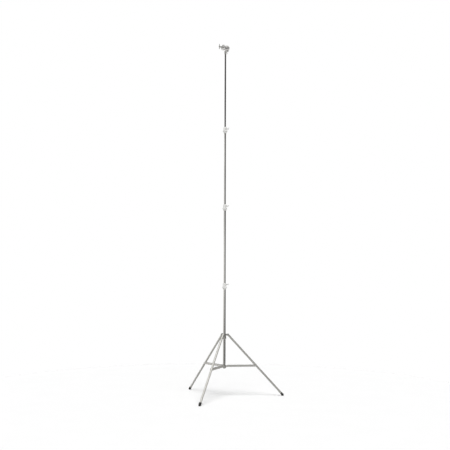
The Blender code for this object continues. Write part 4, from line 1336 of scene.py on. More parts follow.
@dataclass
class Base:
    """The hub, the sliding leg collar, and the braces and legs between them.

    Attributes:
        workshop: Makes the pieces.
        pin: Radius of every pivot pin, and its play in a hole.
        side_play: Play between a leg and the flanges beside it.
        sheet: Thickness of the braces' sheet steel.
        bend: Outer and inner radius of the bends between a brace's web and its flanges.
        bend_steps: Facets of the outer and of the inner bend.
        brace_end: Radius of a brace's round ends.
        brace_arc: Facets of a round end, and where it stops on the upper side, in degrees.
        web_cut: How far the web is cut back at the hub and at the leg.
        shoulder: How far from a pivot the web's full height starts, and the rounding there.
        hub: Radius of the hub, and its reach below and above the pivots.
        hub_rounds: Rounding of the hub and of its lugs.
        collar: Radius of the leg collar, and its reach below and above the pivots.
        rim: Radius and height of the leg collar's lower rim.
        collar_rounds: Rounding of the leg collar, of its clevises and of their slots.
        ear: Thickness and radius of a clevis ear.
        root: How far the solid root of a clevis reaches from the axis.
        boss: Radius and reach of the lock screw's boss, and its depth below the pivots.
        boss_flare: Where its flare starts and ends over the collar, and its radius in boss radii.
        boss_round: Rounding of its edges.
        head: Radius and height of rivet and screw heads.
        button: Edge radius of a screw's head, its height over the seat, and its sweep in degrees.
        button_steps: Facets of that edge.
        tip: Chamfer of a screw's tip.
        socket: Corner radius and depth of a screw's socket.
        leg_wall: Wall of the leg tubes.
        leg_round: Rounding of their ends.
        cap: Taper and rounding of a leg's cap.
        ball: Radius of a foot's round end, and the height of its centre over the floor.
        ball_steps: Facets of its profile.
        foot_inset: How much smaller a foot is, so it stays inside the flats of its solid.
        sleeve: Length of a foot's sleeve above the ball's centre.
        grooves: Where the sleeve's grooves are, as shares of its length.
        groove: Half width of a groove at its mouth and at its root, and its depth.
        foot_edges: Chamfer of the sleeve's end, rounding of its corners, and their facets.
        foot_floor: Thickness of the rubber under the tube.
    """

    workshop: Workshop
    pin: tuple[float, float] = (0.004, 0.0003)
    side_play: float = 0.0005
    sheet: float = 0.0025
    bend: tuple[float, float] = (0.0032, 0.001)
    bend_steps: tuple[int, int] = (5, 4)
    brace_end: float = 0.011
    brace_arc: tuple[int, float] = (20, 60.0)
    web_cut: tuple[float, float] = (0.030, 0.046)
    shoulder: tuple[float, float] = (0.006, 0.004)
    hub: tuple[float, float, float] = (0.030, 0.024, 0.014)
    hub_rounds: tuple[float, float] = (0.0022, 0.0012)
    collar: tuple[float, float, float] = (0.025, 0.070, 0.018)
    rim: tuple[float, float] = (0.0275, 0.010)
    collar_rounds: tuple[float, float, float] = (0.0016, 0.0013, 0.004)
    ear: tuple[float, float] = (0.005, 0.013)
    root: float = 0.036
    boss: tuple[float, float, float] = (0.011, 0.036, 0.045)
    boss_flare: tuple[float, float, float] = (0.001, 0.004, 1.12)
    boss_round: float = 0.0013
    head: tuple[float, float] = (0.0075, 0.003)
    button: tuple[float, float, float] = (0.0022, 0.0008, 80.0)
    button_steps: int = 8
    tip: float = 0.0004
    socket: tuple[float, float] = (0.0026, 0.0018)
    leg_wall: float = 0.0015
    leg_round: float = 0.0004
    cap: tuple[float, float] = (0.0006, 0.0008)
    ball: tuple[float, float] = (0.0195, 0.0165)
    ball_steps: int = 16
    foot_inset: float = 0.0002
    sleeve: float = 0.040
    grooves: tuple[float, ...] = (0.30, 0.50, 0.70)
    groove: tuple[float, float, float] = (0.0016, 0.0007, 0.0009)
    foot_edges: tuple[float, float, int] = (0.002, 0.0006, 3)
    foot_floor: float = 0.004

    def __post_init__(self) -> None:
        """Take the places and widths that the frame gives."""
        self.axis = middle_of("base_column")
        self.bore = round_radius("base_column") + TOUCH_GAP
        self.inside = self.bore - OVERLAP
        self.leg_radius = round_radius("leg_2")
        self.half_gap = self.leg_radius + self.side_play
        self.outer_gap = self.half_gap + self.sheet

    def build(self) -> None:
        """Build the base from the hub outwards."""
        self.hub_casting()
        self.leg_collar()
        TeeScrew(self.workshop, "leg_collar").build()
        for number in LEG_NUMBERS:
            self.pivot_screws(number)
            self.brace(number)
            self.rivet(f"hub_pin_{number}", f"hub_rivet_{number}", self.hub_pivot(number), number)
            self.rivet(f"leg_pin_{number}", f"leg_rivet_{number}", self.leg_hinge(number), number)
            self.leg(number)

    def hub_pivot(self, number: int) -> Vector:
        """Where a brace turns on the hub."""
        return spot_of(f"brace_{number}_fold")

    def leg_hinge(self, number: int) -> Vector:
        """Where a leg turns on its brace."""
        return spot_of(f"leg_{number}_fold")

    def clevis_pivot(self, number: int) -> Vector:
        """Where a leg's top turns on the leg collar."""
        screw = f"leg_pivot_screw_{number}"
        return (middle_of(f"{screw}a") + middle_of(f"{screw}b")) / 2

    def ball_centre(self, number: int) -> Vector:
        """The centre of a foot's round end."""
        return Vector(MOUNTS[f"foot_{number}_sole"]["pos_m"]) + self.ball[1] * UP

    def outward(self, number: int) -> Vector:
        """The level direction from the column to a leg."""
        return (self.leg_hinge(number) - self.hub_pivot(number)).normalized()

    def from_axis(self, spot: Vector) -> float:
        """How far a spot is from the column's axis."""
        return (spot - self.axis).to_2d().length

    def pin_hole(self, half: float, x: float = 0.0, z: float = 0.0) -> BMesh:
        """The cutter of a pin's hole along Y, twice as long on each side as half a width."""
        return shifted(drill(sum(self.pin), -2 * half, 2 * half, Axis.Y), x, z)

    def hub_casting(self) -> None:
        """Build the hub: a ring with a lug for each brace."""
        radius, below, above_pivots = self.hub
        ring_round, lug_round = self.hub_rounds
        shape = lathe(oblong(self.inside, radius, -below, above_pivots), ring_round)
        pivot = self.hub_pivot(1)
        reach, half, end = self.from_axis(pivot), self.half_gap - TOUCH_GAP, self.brace_end
        round_end = arc((reach, 0.0), end, -90.0, 90.0, HALF_ROUND_STEPS)
        outline = [(self.inside, -end), *round_end, (self.inside, end)]
        turns = [turned_to(self.outward(number)) for number in LEG_NUMBERS]
        for turn in turns:
            shape = joined(shape, moved_by(upright(prism(outline, -half, half, lug_round)), turn))
        for turn in turns:
            shape = cut(shape, moved_by(self.pin_hole(half, reach), turn))
        shape = cut(shape, drill(self.bore, -2 * below, 2 * below, steps=ROUND_STEPS))
        place = above("base_column", pivot.z)
        self.workshop.add("hub_casting", shape, SHADE_DARKENED_CASTING, "base_hub", place)

    def clevis(self, pivot: float) -> BMesh:
        """Build a clevis along X: two ears either side of a leg, on a solid root.

        Args:
            pivot: The pivot's distance from the column's axis.

        Returns:
            The clevis, with its hole.
        """
        thickness, radius = self.ear
        outer = self.half_gap + thickness
        round_end = arc((pivot, 0.0), radius, -90.0, 90.0, HALF_ROUND_STEPS)
        outline = [(self.inside, -radius), *round_end, (self.inside, radius)]
        body = upright(prism(outline, -outer, outer, self.collar_rounds[1]))
        sides = oblong(self.root, pivot + 2 * radius, -self.half_gap, self.half_gap)
        slot = prism(rounded(sides, self.collar_rounds[2]), -2 * radius, 2 * radius)
        return cut(body, slot, self.pin_hole(outer, pivot))

    def leg_collar(self) -> None:
        """Build the collar that slides on the base tube."""
        radius, below, above_pivots = self.collar
        rim_radius, rim_height = self.rim
        barrel = [(rim_radius, -below), (rim_radius, rim_height - below)]
        barrel += [(radius, rim_height - below), (radius, above_pivots)]
        barrel += [(self.inside, above_pivots), (self.inside, -below)]
        shape = lathe(barrel, self.collar_rounds[0])
        pivot = self.clevis_pivot(1)
        for number in LEG_NUMBERS:
            clevis = self.clevis(self.from_axis(pivot))
            shape = joined(shape, moved_by(clevis, turned_to(self.outward(number))))
        boss_radius, reach, depth = self.boss
        start, end, share = self.boss_flare
        side = [(0.0, self.inside), (share * boss_radius, self.inside)]
        side += [(share * boss_radius, radius + start), (boss_radius, radius + end)]
        side += [(boss_radius, reach), (0.0, reach)]
        boss = lying(lathe(side, self.boss_round, BOSS_STEPS), Axis.X)
        hole = drill(sum(self.pin), 0.0, 2 * reach, Axis.X)
        turn = turned_to(Vector(JOINTS["leg_collar_tee_turn"]["axis"]))
        shape = joined(shape, moved_by(shifted(boss, z=-depth), turn))
        shape = cut(shape, moved_by(shifted(hole, z=-depth), turn))
        shape = cut(shape, drill(self.bore, -1.0, 1.0, steps=ROUND_STEPS))
        place = above("base_column", pivot.z)
        self.workshop.add("leg_collar_casting", shape, SHADE_DARKENED_CASTING, "leg_collar", place)

    def pivot_screws(self, number: int) -> None:
        """Build the two button-headed shoulder screws of one clevis.

        Args:
            number: The leg's number.
        """
        pivot = self.clevis_pivot(number)
        pin, tip = self.pin[0], self.tip
        radius, height = self.head
        edge, rise, sweep = self.button
        for side in "ab":
            node = f"leg_pivot_screw_{number}{side}"
            place = frame_of(pivot, middle_of(node) - pivot, UP)
            start, end = reach_along(node, place)
            seat = end - height
            corners = [(0.0, start), (pin - tip, start), (pin, start + tip), (pin, seat)]
            corners.append((radius, seat))
            corners += arc((radius - edge, seat + rise), edge, 0.0, sweep, self.button_steps)
            shape = lathe([*corners, (0.0, end)], steps=SMALL_ROUND_STEPS)
            shape = cut(shape, hex_socket(self.socket, end))
            name = f"shoulder_screw_{number}{side}"
            self.workshop.add(name, shape, ZINC_FASTENER, node, place)

    def rivet(self, name: str, node: str, spot: Vector, number: int) -> None:
        """Build a rivet with a domed head at each end.

        Args:
            name: The piece's name.
            node: The CAD node that it stands for.
            spot: The middle of the pivot.
            number: The leg's number.
        """
        place = frame_of(spot, UP.cross(self.outward(number)), UP)
        end = reach_along(node, place)[1]
        radius, height = self.head
        sphere = (radius * radius + height * height) / (2 * height)
        rise = math.degrees(math.asin((sphere - height) / sphere))
        dome = arc((0.0, end - sphere), sphere, rise, 90.0, DOME_STEPS)
        half = [(self.pin[0], end - height), *dome[:-1], (0.0, end)]
        other = [(r, -z) for r, z in reversed(half)]
        shape = lathe([*other, *half], steps=SMALL_ROUND_STEPS)
        self.workshop.add(name, shape, ZINC_FASTENER, node, place)

    def is_bend(self, edge: BMEdge) -> bool:
        """Whether an edge runs along the bend between a brace's web and a flange."""
        first, second = (vertex.co for vertex in edge.verts)
        on_top = min(first.z, second.z) > self.outer_gap - 10 * MERGE_DISTANCE
        return on_top and abs(first.y - second.y) < MERGE_DISTANCE

    def brace(self, number: int) -> None:
        """Build a brace: a channel of bent sheet, open below, round at both ends.

        Args:
            number: The leg's number.
        """
        start = self.hub_pivot(number)
        length = (self.leg_hinge(number) - start).length
        gap, top = self.half_gap, self.outer_gap
        outer_bend, inner_bend = self.bend
        outer_steps, inner_steps = self.bend_steps
        steps, stop = self.brace_arc
        shoulder, shoulder_round = self.shoulder
        outline = [*arc((0.0, 0.0), self.brace_end, 180.0 - stop, 270.0, steps)]
        outline += arc((length, 0.0), self.brace_end, -90.0, stop, steps)
        outline += [(length - shoulder, top), (shoulder, top)]
        shape = upright(prism(rounded(outline, shoulder_round), -top, top))
        bends = [edge for edge in shape.edges if self.is_bend(edge)]
        bevel(shape, bends, outer_bend, outer_steps)
        hub_cut, leg_cut = self.web_cut
        low, past, corner = -2 * top, length + 2 * top, gap - inner_bend
        hollow = [(-gap, low), (gap, low)]
        hollow += arc((corner, corner), inner_bend, 0.0, 90.0, inner_steps)
        hollow += arc((-corner, corner), inner_bend, 90.0, 180.0, inner_steps)
        channel = facing_x(prism(hollow, low, past))
        near_hub = block((low, -gap, low), (hub_cut, gap, 2 * top))
        near_leg = block((length - leg_cut, -gap, low), (past, gap, 2 * top))
        holes = [self.pin_hole(gap, x) for x in (0.0, length)]
        shape = cut(shape, channel, near_hub, near_leg, *holes)
        place = frame_of(start, UP, self.outward(number))
        self.workshop.add(f"brace_channel_{number}", shape, LEG_STEEL, f"brace_{number}", place)

    def leg(self, number: int) -> None:
        """Build a leg tube with its cap and rubber foot.

        Args:
            number: The leg's number.
        """
        node, outward = f"leg_{number}", self.outward(number)
        hinge, ball = self.leg_hinge(number), self.ball_centre(number)
        place = frame_of(hinge, hinge - ball, outward)
        bottom, top = reach_along(node, place)
        radius = self.leg_radius
        shape = lathe(oblong(radius - self.leg_wall, radius, bottom, top), self.leg_round)
        pivot = (place.inverted() @ self.clevis_pivot(number)).z
        shape = cut(shape, *(self.pin_hole(radius, z=height) for height in (0.0, pivot)))
        self.workshop.add(f"leg_tube_{number}", shape, LEG_STEEL, node, place)
        self.end_cap(number, place, top + TOUCH_GAP)
        self.foot(number, frame_of(ball, hinge - ball, outward))

    def end_cap(self, number: int, place: Matrix, rim: float) -> None:
        """Build the plastic cap in a leg's upper end.

        Args:
            number: The leg's number.
            place: The leg's place.
            rim: Where the cap's rim starts along the leg.
        """
        node, radius = f"leg_cap_{number}", self.leg_radius
        low, high = reach_along(node, place)
        spigot = radius - self.leg_wall - TOUCH_GAP
        taper, rounding = self.cap
        corners = [(0.0, low), (spigot, low), (spigot, rim), (radius, rim)]
        shape = lathe([*corners, (radius - taper, high), (0.0, high)], rounding, BOSS_STEPS)
        self.workshop.add(f"leg_end_cap_{number}", shape, BLACK_PLASTIC, node, place)

    def foot(self, number: int, place: Matrix) -> None:
        """Build a grooved rubber foot, worn flat where it stands on the floor.

        Args:
            number: The leg's number.
            place: The ball's centre, with Z up the leg.
        """
        radius, height = self.ball[0] - self.foot_inset, self.ball[1]
        bore, floor = self.leg_radius + TOUCH_GAP, self.foot_floor - TOUCH_GAP
        chamfer, rounding, steps = self.foot_edges
        mouth, root, depth = self.groove
        corners = [*arc((0.0, 0.0), radius, -90.0, 0.0, self.ball_steps)]
        for share in self.grooves:
            middle = share * self.sleeve
            corners += [(radius, middle - mouth), (radius - depth, middle - root)]
            corners += [(radius - depth, middle + root), (radius, middle + mouth)]
        corners += [(radius, self.sleeve - chamfer), (radius - chamfer, self.sleeve)]
        corners += [(bore, self.sleeve), (bore, floor), (0.0, floor)]
        shape = lathe(rounded(corners, rounding, False, steps))
        into = place.inverted()
        down = (into.to_3x3() @ -UP).normalized()
        flat = into @ (place.translation - height * UP)
        parts = [*shape.verts, *shape.edges, *shape.faces]
        sliced = bmesh.ops.bisect_plane(
            shape, geom=parts, plane_co=flat, plane_no=down, clear_outer=True
        )
        rim_edges = [item for item in sliced["geom_cut"] if isinstance(item, BMEdge)]
        bmesh.ops.edgeloop_fill(shape, edges=rim_edges)
        node = f"foot_{number}"
        self.workshop.add(f"rubber_foot_{number}", mended(shape), DARK_RUBBER, node, place)


# Head


@dataclass
class Receiver:
    """The socket on the top riser that takes the head's pin.

    Attributes:
        workshop: Makes the pieces.
        radius: Its body.
        rim: Radius and height of its upper rim.
        edge_round: Rounding of its edges.
        bore: Radius and floor height of the socket.
        groove: Depth and height of the groove round its foot.
        spigot: Length and wall of the part inside the riser.
        tube_wall: Wall of the riser.
        boss: Radius and reach of the screw boss.
        boss_root: How far outside the bore the boss starts, and its radius there in boss radii.
        boss_flare: How far over the body the boss is at its own radius.
        boss_round: Rounding of its edges.
        screw: Radius and pitch of the screw, and its depth below the rim.
        tee_hub: Radius and length of the tee's hub.
        tee_bar: Radius and length of the tee's bar.
    """

    workshop: Workshop
    radius: float = 0.0175
    rim: tuple[float, float] = (0.0195, 0.006)
    edge_round: float = 0.0007
    bore: tuple[float, float] = (0.0145, 0.006)
    groove: tuple[float, float] = (0.0015, 0.004)
    spigot: tuple[float, float] = (0.040, 0.003)
    tube_wall: float = 0.0015
    boss: tuple[float, float] = (0.007, 0.024)
    boss_root: tuple[float, float] = (0.0006, 1.25)
    boss_flare: float = 0.0025
    boss_round: float = 0.001
    screw: tuple[float, float, float] = (0.003, 0.001, 0.018)
    tee_hub: tuple[float, float] = (0.005, 0.009)
    tee_bar: tuple[float, float] = (0.003, 0.030)

    def build(self) -> None:
        """Build the socket and its small tee screw."""
        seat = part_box("riser_3")[1].z
        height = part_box("receiver")[1].z - seat
        body = self.radius
        rim_radius, rim_height = self.rim
        socket, floor = self.bore
        groove_depth, groove_height = self.groove
        length, wall = self.spigot
        outer = round_radius("riser_3") - self.tube_wall - TOUCH_GAP
        waist, groove_top, rim_low = body - groove_depth, floor + groove_height, height - rim_height
        corners = [(outer - wall, -length), (outer, -length), (outer, TOUCH_GAP), (body, TOUCH_GAP)]
        corners += [(body, floor), (waist, floor), (waist, groove_top), (body, groove_top)]
        corners += [(body, rim_low), (rim_radius, rim_low), (rim_radius, height), (socket, height)]
        corners += [(socket, floor), (outer - wall, floor)]
        radius, reach = self.boss
        margin, share = self.boss_root
        side = [(0.0, socket + margin), (share * radius, socket + margin)]
        side += [(radius, body + self.boss_flare), (radius, reach), (0.0, reach)]
        boss = lying(lathe(side, self.boss_round, SLIM_STEPS), Axis.X)
        screw, pitch, depth = self.screw
        hole = drill(screw + TOUCH_GAP, 0.0, 2 * reach, Axis.X)
        shape = joined(lathe(corners, self.edge_round), shifted(boss, z=height - depth))
        shape = cut(shape, shifted(hole, z=height - depth))
        place = above("riser_3", seat)
        self.workshop.add("head_socket", shape, SHADE_DARKENED_CASTING, "receiver", place)
        sizes = {"screw": screw, "pitch": pitch, "hub": self.tee_hub, "bar": self.tee_bar}
        TeeScrew(self.workshop, "receiver", **sizes).build()


@dataclass
class Head:
    """The grip head: its frame, two jaws, and what holds them on one bolt.

    Attributes:
        workshop: Makes the pieces.
        pin: Radius, length and rounding of the pin in the receiver.
        arm: Thickness and half width of the arm.
        plate: Thickness of the round back plate, and facets of its edge.
        frame_round: Rounding of the arm and of the plate.
        jaw: Radius and thickness of a jaw.
        jaw_round: Rounding of its edges.
        chamfer: Chamfer round the inner jaw's flat back.
        dome: Where the dome of the outer jaw's back starts, and how far it falls to the rim.
        vee: Distance from the bolt, half height and depth of the pipe groove.
        vee_round: Rounding of its root.
        rod: Distance from the bolt and radius of the rod groove, and facets of its arc.
        rod_lip: How far the rod groove's sides stand back from its arc.
        recess: Radius and depth of the spring's recess in each jaw.
        ring_round: Rounding of the friction ring.
        washer_round: Rounding of the washers.
        bolt: Radius of the bolt, and half the width and the height of its head.
        bolt_tip: Chamfer of its tip and length of its thread's run-out.
        bolt_pitch: Pitch of its thread.
        bolt_overlap: How far its shank reaches into the head.
        crown: How far the head's chamfer starts past a corner, below its end and inside its flats.
        play: Play of the bolt in what it passes through.
        tee: Radius of the tee nut's sleeve, radius of its bar, and the bar's inset.
        tee_round: Rounding of the sleeve's edges.
        tee_groove: Depths below the sleeve's end at which its groove starts, bottoms and ends.
        groove_depth: Depth of that groove.
        bar_end: Rounding of the bar's ends in bar radii, and their facets.
        coil: Radius of the spring's coil and of its wire.
        coil_turns: How many turns the spring has.
        coil_steps: Facets in a turn.
        wire_steps: Resolution of the wire's round section.
        closed: Closed turns at each end, and how far along the spring they reach.
        thread_end: How far along the jaw axis the bolt's thread runs.
    """

    workshop: Workshop
    pin: tuple[float, float, float] = (0.0142, 0.038, 0.0015)
    arm: tuple[float, float] = (0.009, 0.018)
    plate: tuple[float, int] = (0.012, 72)
    frame_round: float = 0.0016
    jaw: tuple[float, float] = (0.046, 0.028)
    jaw_round: float = 0.0008
    chamfer: float = 0.004
    dome: tuple[float, float] = (0.015, 0.010)
    vee: tuple[float, float, float] = (0.027, 0.014, 0.011)
    vee_round: float = 0.0012
    rod: tuple[float, float, int] = (0.026, 0.008, 20)
    rod_lip: float = 0.0007
    recess: tuple[float, float] = (0.0114, 0.008)
    ring_round: float = 0.0003
    washer_round: float = 0.0005
    bolt: tuple[float, float, float] = (0.006, 0.011, 0.008)
    bolt_tip: float = 0.001
    bolt_pitch: float = 0.0015
    bolt_overlap: float = 0.002
    crown: tuple[float, float, float] = (0.0005, 0.0013, 0.0012)
    play: float = 0.0003
    tee: tuple[float, float, float] = (0.0125, 0.006, 0.008)
    tee_round: float = 0.0012
    tee_groove: tuple[float, float, float, float] = (0.010, 0.008, 0.005, 0.003)
    groove_depth: float = 0.0015
    bar_end: tuple[float, int] = (0.7, 6)
    coil: tuple[float, float] = (0.0092, 0.0011)
    coil_turns: int = 6
    coil_steps: int = 32
    wire_steps: int = 3
    closed: tuple[float, float] = (1.0, 0.06)
    thread_end: float = -0.016

    def __post_init__(self) -> None:
        """Take the jaw axis from the frame."""
        self.place = on_joint("jaw_tilt")
        self.hole = self.bolt[0] + self.play

    def build(self) -> None:
        """Build the frame, the jaws, and what sits on the bolt."""
        self.frame_casting()
        self.jaw_plate("inner_jaw", 1.0)
        self.jaw_plate("outer_jaw", -1.0)
        self.disc("friction_ring", "friction_disc", FRICTION_FIBRE, self.ring_round)
        self.disc("back_washer", "bolt_washer", ZINC_FASTENER, self.washer_round)
        self.disc("front_washer", "thrust_washer", ZINC_FASTENER, self.washer_round)
        self.jaw_bolt()
        self.tee_nut()
        self.spring()

    def frame_casting(self) -> None:
        """Build pin, arm and round back plate as one casting."""
        origin, rim = self.place.translation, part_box("receiver")[1].z
        height = origin.z - rim
        thickness, half = self.arm
        plate, steps = self.plate
        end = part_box("head_frame")[1].x - origin.x
        middle, knee = end - plate / 2, TOUCH_GAP + thickness / 2
        plan = [*arc((0.0, 0.0), half, 90.0, 270.0, HALF_ROUND_STEPS), (middle, -half)]
        arm = prism([*plan, (middle, half)], TOUCH_GAP, TOUCH_GAP + thickness, self.frame_round)
        radius = self.jaw[0]
        corner = math.degrees(math.acos(half / radius))
        face = [*arc((0.0, height), radius, -corner, 180.0 + corner, steps)]
        face += [(-half, knee), (half, knee)]
        disc = facing_x(prism(face, end - plate, end, self.frame_round))
        pin_radius, pin_length, pin_round = self.pin
        pin = lathe(oblong(0.0, pin_radius, -pin_length, knee), pin_round)
        bore = shifted(drill(self.hole, 0.0, 2 * end, Axis.X), z=height)
        place = Matrix.Translation((origin.x, origin.y, rim))
        shape = cut(joined(arm, disc, pin), bore)
        self.workshop.add("head_casting", shape, HEAD_CASTING, "head_frame", place)

    def flat_back(self) -> Outline:
        """The outline of a jaw's back that lies flat on the friction ring."""
        radius, thickness = self.jaw
        return [(radius - self.chamfer, thickness), (radius, thickness - self.chamfer)]

    def domed_back(self) -> Outline:
        """Draw a jaw's back that falls away in a dome from the washer to the rim.

        Returns:
            Its outline, from the bolt outwards.
        """
        radius, thickness = self.jaw
        start, drop = self.dome
        shares = [step / DOME_STEPS for step in range(DOME_STEPS + 1)]
        return [(start + share * (radius - start), thickness - drop * share**2) for share in shares]

    def vee_cutter(self, reach: float) -> BMesh:
        """Build the cutter of a jaw's pipe groove.

        Args:
            reach: How far it reaches to each side.

        Returns:
            The cutter.
        """
        offset, half, depth = self.vee
        mouth = half + OVERLAP * half / depth
        vee = [(offset - mouth, -OVERLAP), (offset, depth), (offset + mouth, -OVERLAP)]
        return upright(prism(rounded(vee, self.vee_round), -reach, reach))

    def rod_cutter(self, reach: float) -> BMesh:
        """Build the cutter of a jaw's rod groove.

        Args:
            reach: How far it reaches to each side.

        Returns:
            The cutter.
        """
        offset, groove, steps = self.rod
        side = groove + self.rod_lip
        start = math.degrees(math.asin(self.rod_lip / groove))
        channel = [(-side, -OVERLAP), (-side, 0.0)]
        channel += arc((0.0, 0.0), groove, 180.0 - start, start, steps)
        channel += [(side, 0.0), (side, -OVERLAP)]
        return shifted(upright(prism(channel, -reach, reach)), x=-offset)

    def jaw_plate(self, node: str, way: float) -> None:
        """Build one jaw, with its gripping face at its own z = 0.

        Args:
            node: The CAD node that it stands for.
            way: 1 if its back faces along the jaw axis, -1 if it faces the other way.
        """
        radius, thickness = self.jaw
        recess_radius, recess_depth = self.recess
        back = self.flat_back() if way > 0 else self.domed_back()
        side = [(recess_radius, 0.0), (recess_radius, recess_depth), (self.hole, recess_depth)]
        side += [(self.hole, thickness), *back, (radius, 0.0)]
        reach = 2 * radius
        shape = cut(lathe(side, self.jaw_round), self.vee_cutter(reach), self.rod_cutter(reach))
        near, far = reach_along(node, self.place)
        origin = self.place @ ((near if way > 0 else far) * UP)
        place = frame_of(origin, self.place.to_3x3() @ (way * UP), UP)
        self.workshop.add(f"{node}_plate", shape, JAW_STEEL, node, place)

    def disc(self, name: str, node: str, finish: Finish, rounding: float) -> None:
        """Build a flat ring on the bolt.

        Args:
            name: The piece's name.
            node: The CAD node that it stands for.
            finish: What it is finished in.
            rounding: Rounding of its edges.
        """
        profile = oblong(self.hole, height_of(node) / 2, *reach_along(node, self.place))
        self.workshop.add(name, lathe(profile, rounding), finish, node, self.place)

    def jaw_bolt(self) -> None:
        """Build the bolt: a chamfered hexagon head, a plain neck and a threaded shank."""
        radius, half_width, height = self.bolt
        past, below, inside = self.crown
        tip, thread_end = self.bolt_tip, self.thread_end
        start, end = reach_along("jaw_bolt", self.place)
        seat = end - height
        corner = half_width / math.cos(math.pi / 6)
        crown = [(0.0, seat - OVERLAP), (corner + past, seat - OVERLAP)]
        crown += [(corner + past, end - below), (half_width - inside, end), (0.0, end)]
        head = combined(prism(hexagon(corner, 30.0), seat, end), lathe(crown), Operation.INTERSECT)
        side = [(0.0, start), (radius - tip, start), (radius, start + tip)]
        side += threaded(radius, start + tip, thread_end, self.bolt_pitch)
        neck = seat + self.bolt_overlap
        side += [(radius, thread_end + tip), (radius, neck), (0.0, neck)]
        shape = joined(head, lathe(side, steps=SLIM_STEPS))
        self.workshop.add("clamp_bolt", shape, ZINC_FASTENER, "jaw_bolt", self.place)

    def tee_nut(self) -> None:
        """Build the long tee nut, open right through for the bolt."""
        radius, bar_radius, inset = self.tee
        start, end = reach_along("jaw_tee", self.place)
        first, low, high, last = (end - depth for depth in self.tee_groove)
        root = radius - self.groove_depth
        side = [(self.hole, start), (radius, start), (radius, first), (root, low)]
        side += [(root, high), (radius, last), (radius, end), (self.hole, end)]
        half = height_of("jaw_tee") / 2
        share, steps = self.bar_end
        ends = rounded(oblong(0.0, bar_radius, -half, half), share * bar_radius, False, steps)
        bar = shifted(lying(lathe(ends, steps=SMALL_ROUND_STEPS), Axis.X), z=start + inset)
        core = drill(self.hole, start - 10 * OVERLAP, end + 10 * OVERLAP)
        shape = cut(joined(lathe(side, self.tee_round, SLEEVE_STEPS), bar), core)
        self.workshop.add("tee_nut", shape, SHADE_DARKENED_CASTING, "jaw_tee", self.place)

    def spring(self) -> None:
        """Build the spring between the jaws."""
        start, end = reach_along("jaw_spring", self.place)
        coil, wire = self.coil
        curve = bpy.data.curves.new("spring_wire", "CURVE")
        curve.dimensions = "3D"
        curve.bevel_depth = wire
        curve.bevel_resolution = self.wire_steps
        curve.use_fill_caps = True
        line = curve.splines.new("POLY")
        line.points.add(self.coil_steps * self.coil_turns)
        for index, point in enumerate(line.points):
            turn = index / self.coil_steps
            angle = 2 * math.pi * turn
            height = start + wire + (end - start - 2 * wire) * self.share_along(turn)
            point.co = (coil * math.cos(angle), coil * math.sin(angle), height, 1.0)
        helper = linked("spring_wire", curve)
        shape = mended(shape_of(helper))
        bpy.data.objects.remove(helper)
        bpy.data.curves.remove(curve)
        piece = self.workshop.add("jaw_coil", shape, SPRING_STEEL, "jaw_spring", self.place)
        travel = max(JOINTS["outer_jaw_slide"]["range_m"])
        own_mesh(piece)

    def share_along(self, turn: float) -> float:
        """How far along the spring a turn is, with the end turns closed up.

        Args:
            turn: How many turns from the start.

        Returns:
            A share from 0 to 1.
        """
        closed, slow = self.closed
        last = self.coil_turns - closed
        if turn < closed:
            return slow * turn
        if turn > last:
            return 1.0 - slow * (self.coil_turns - turn)
        return slow + (1.0 - 2 * slow) * (turn - closed) / (last - closed)


# Studio


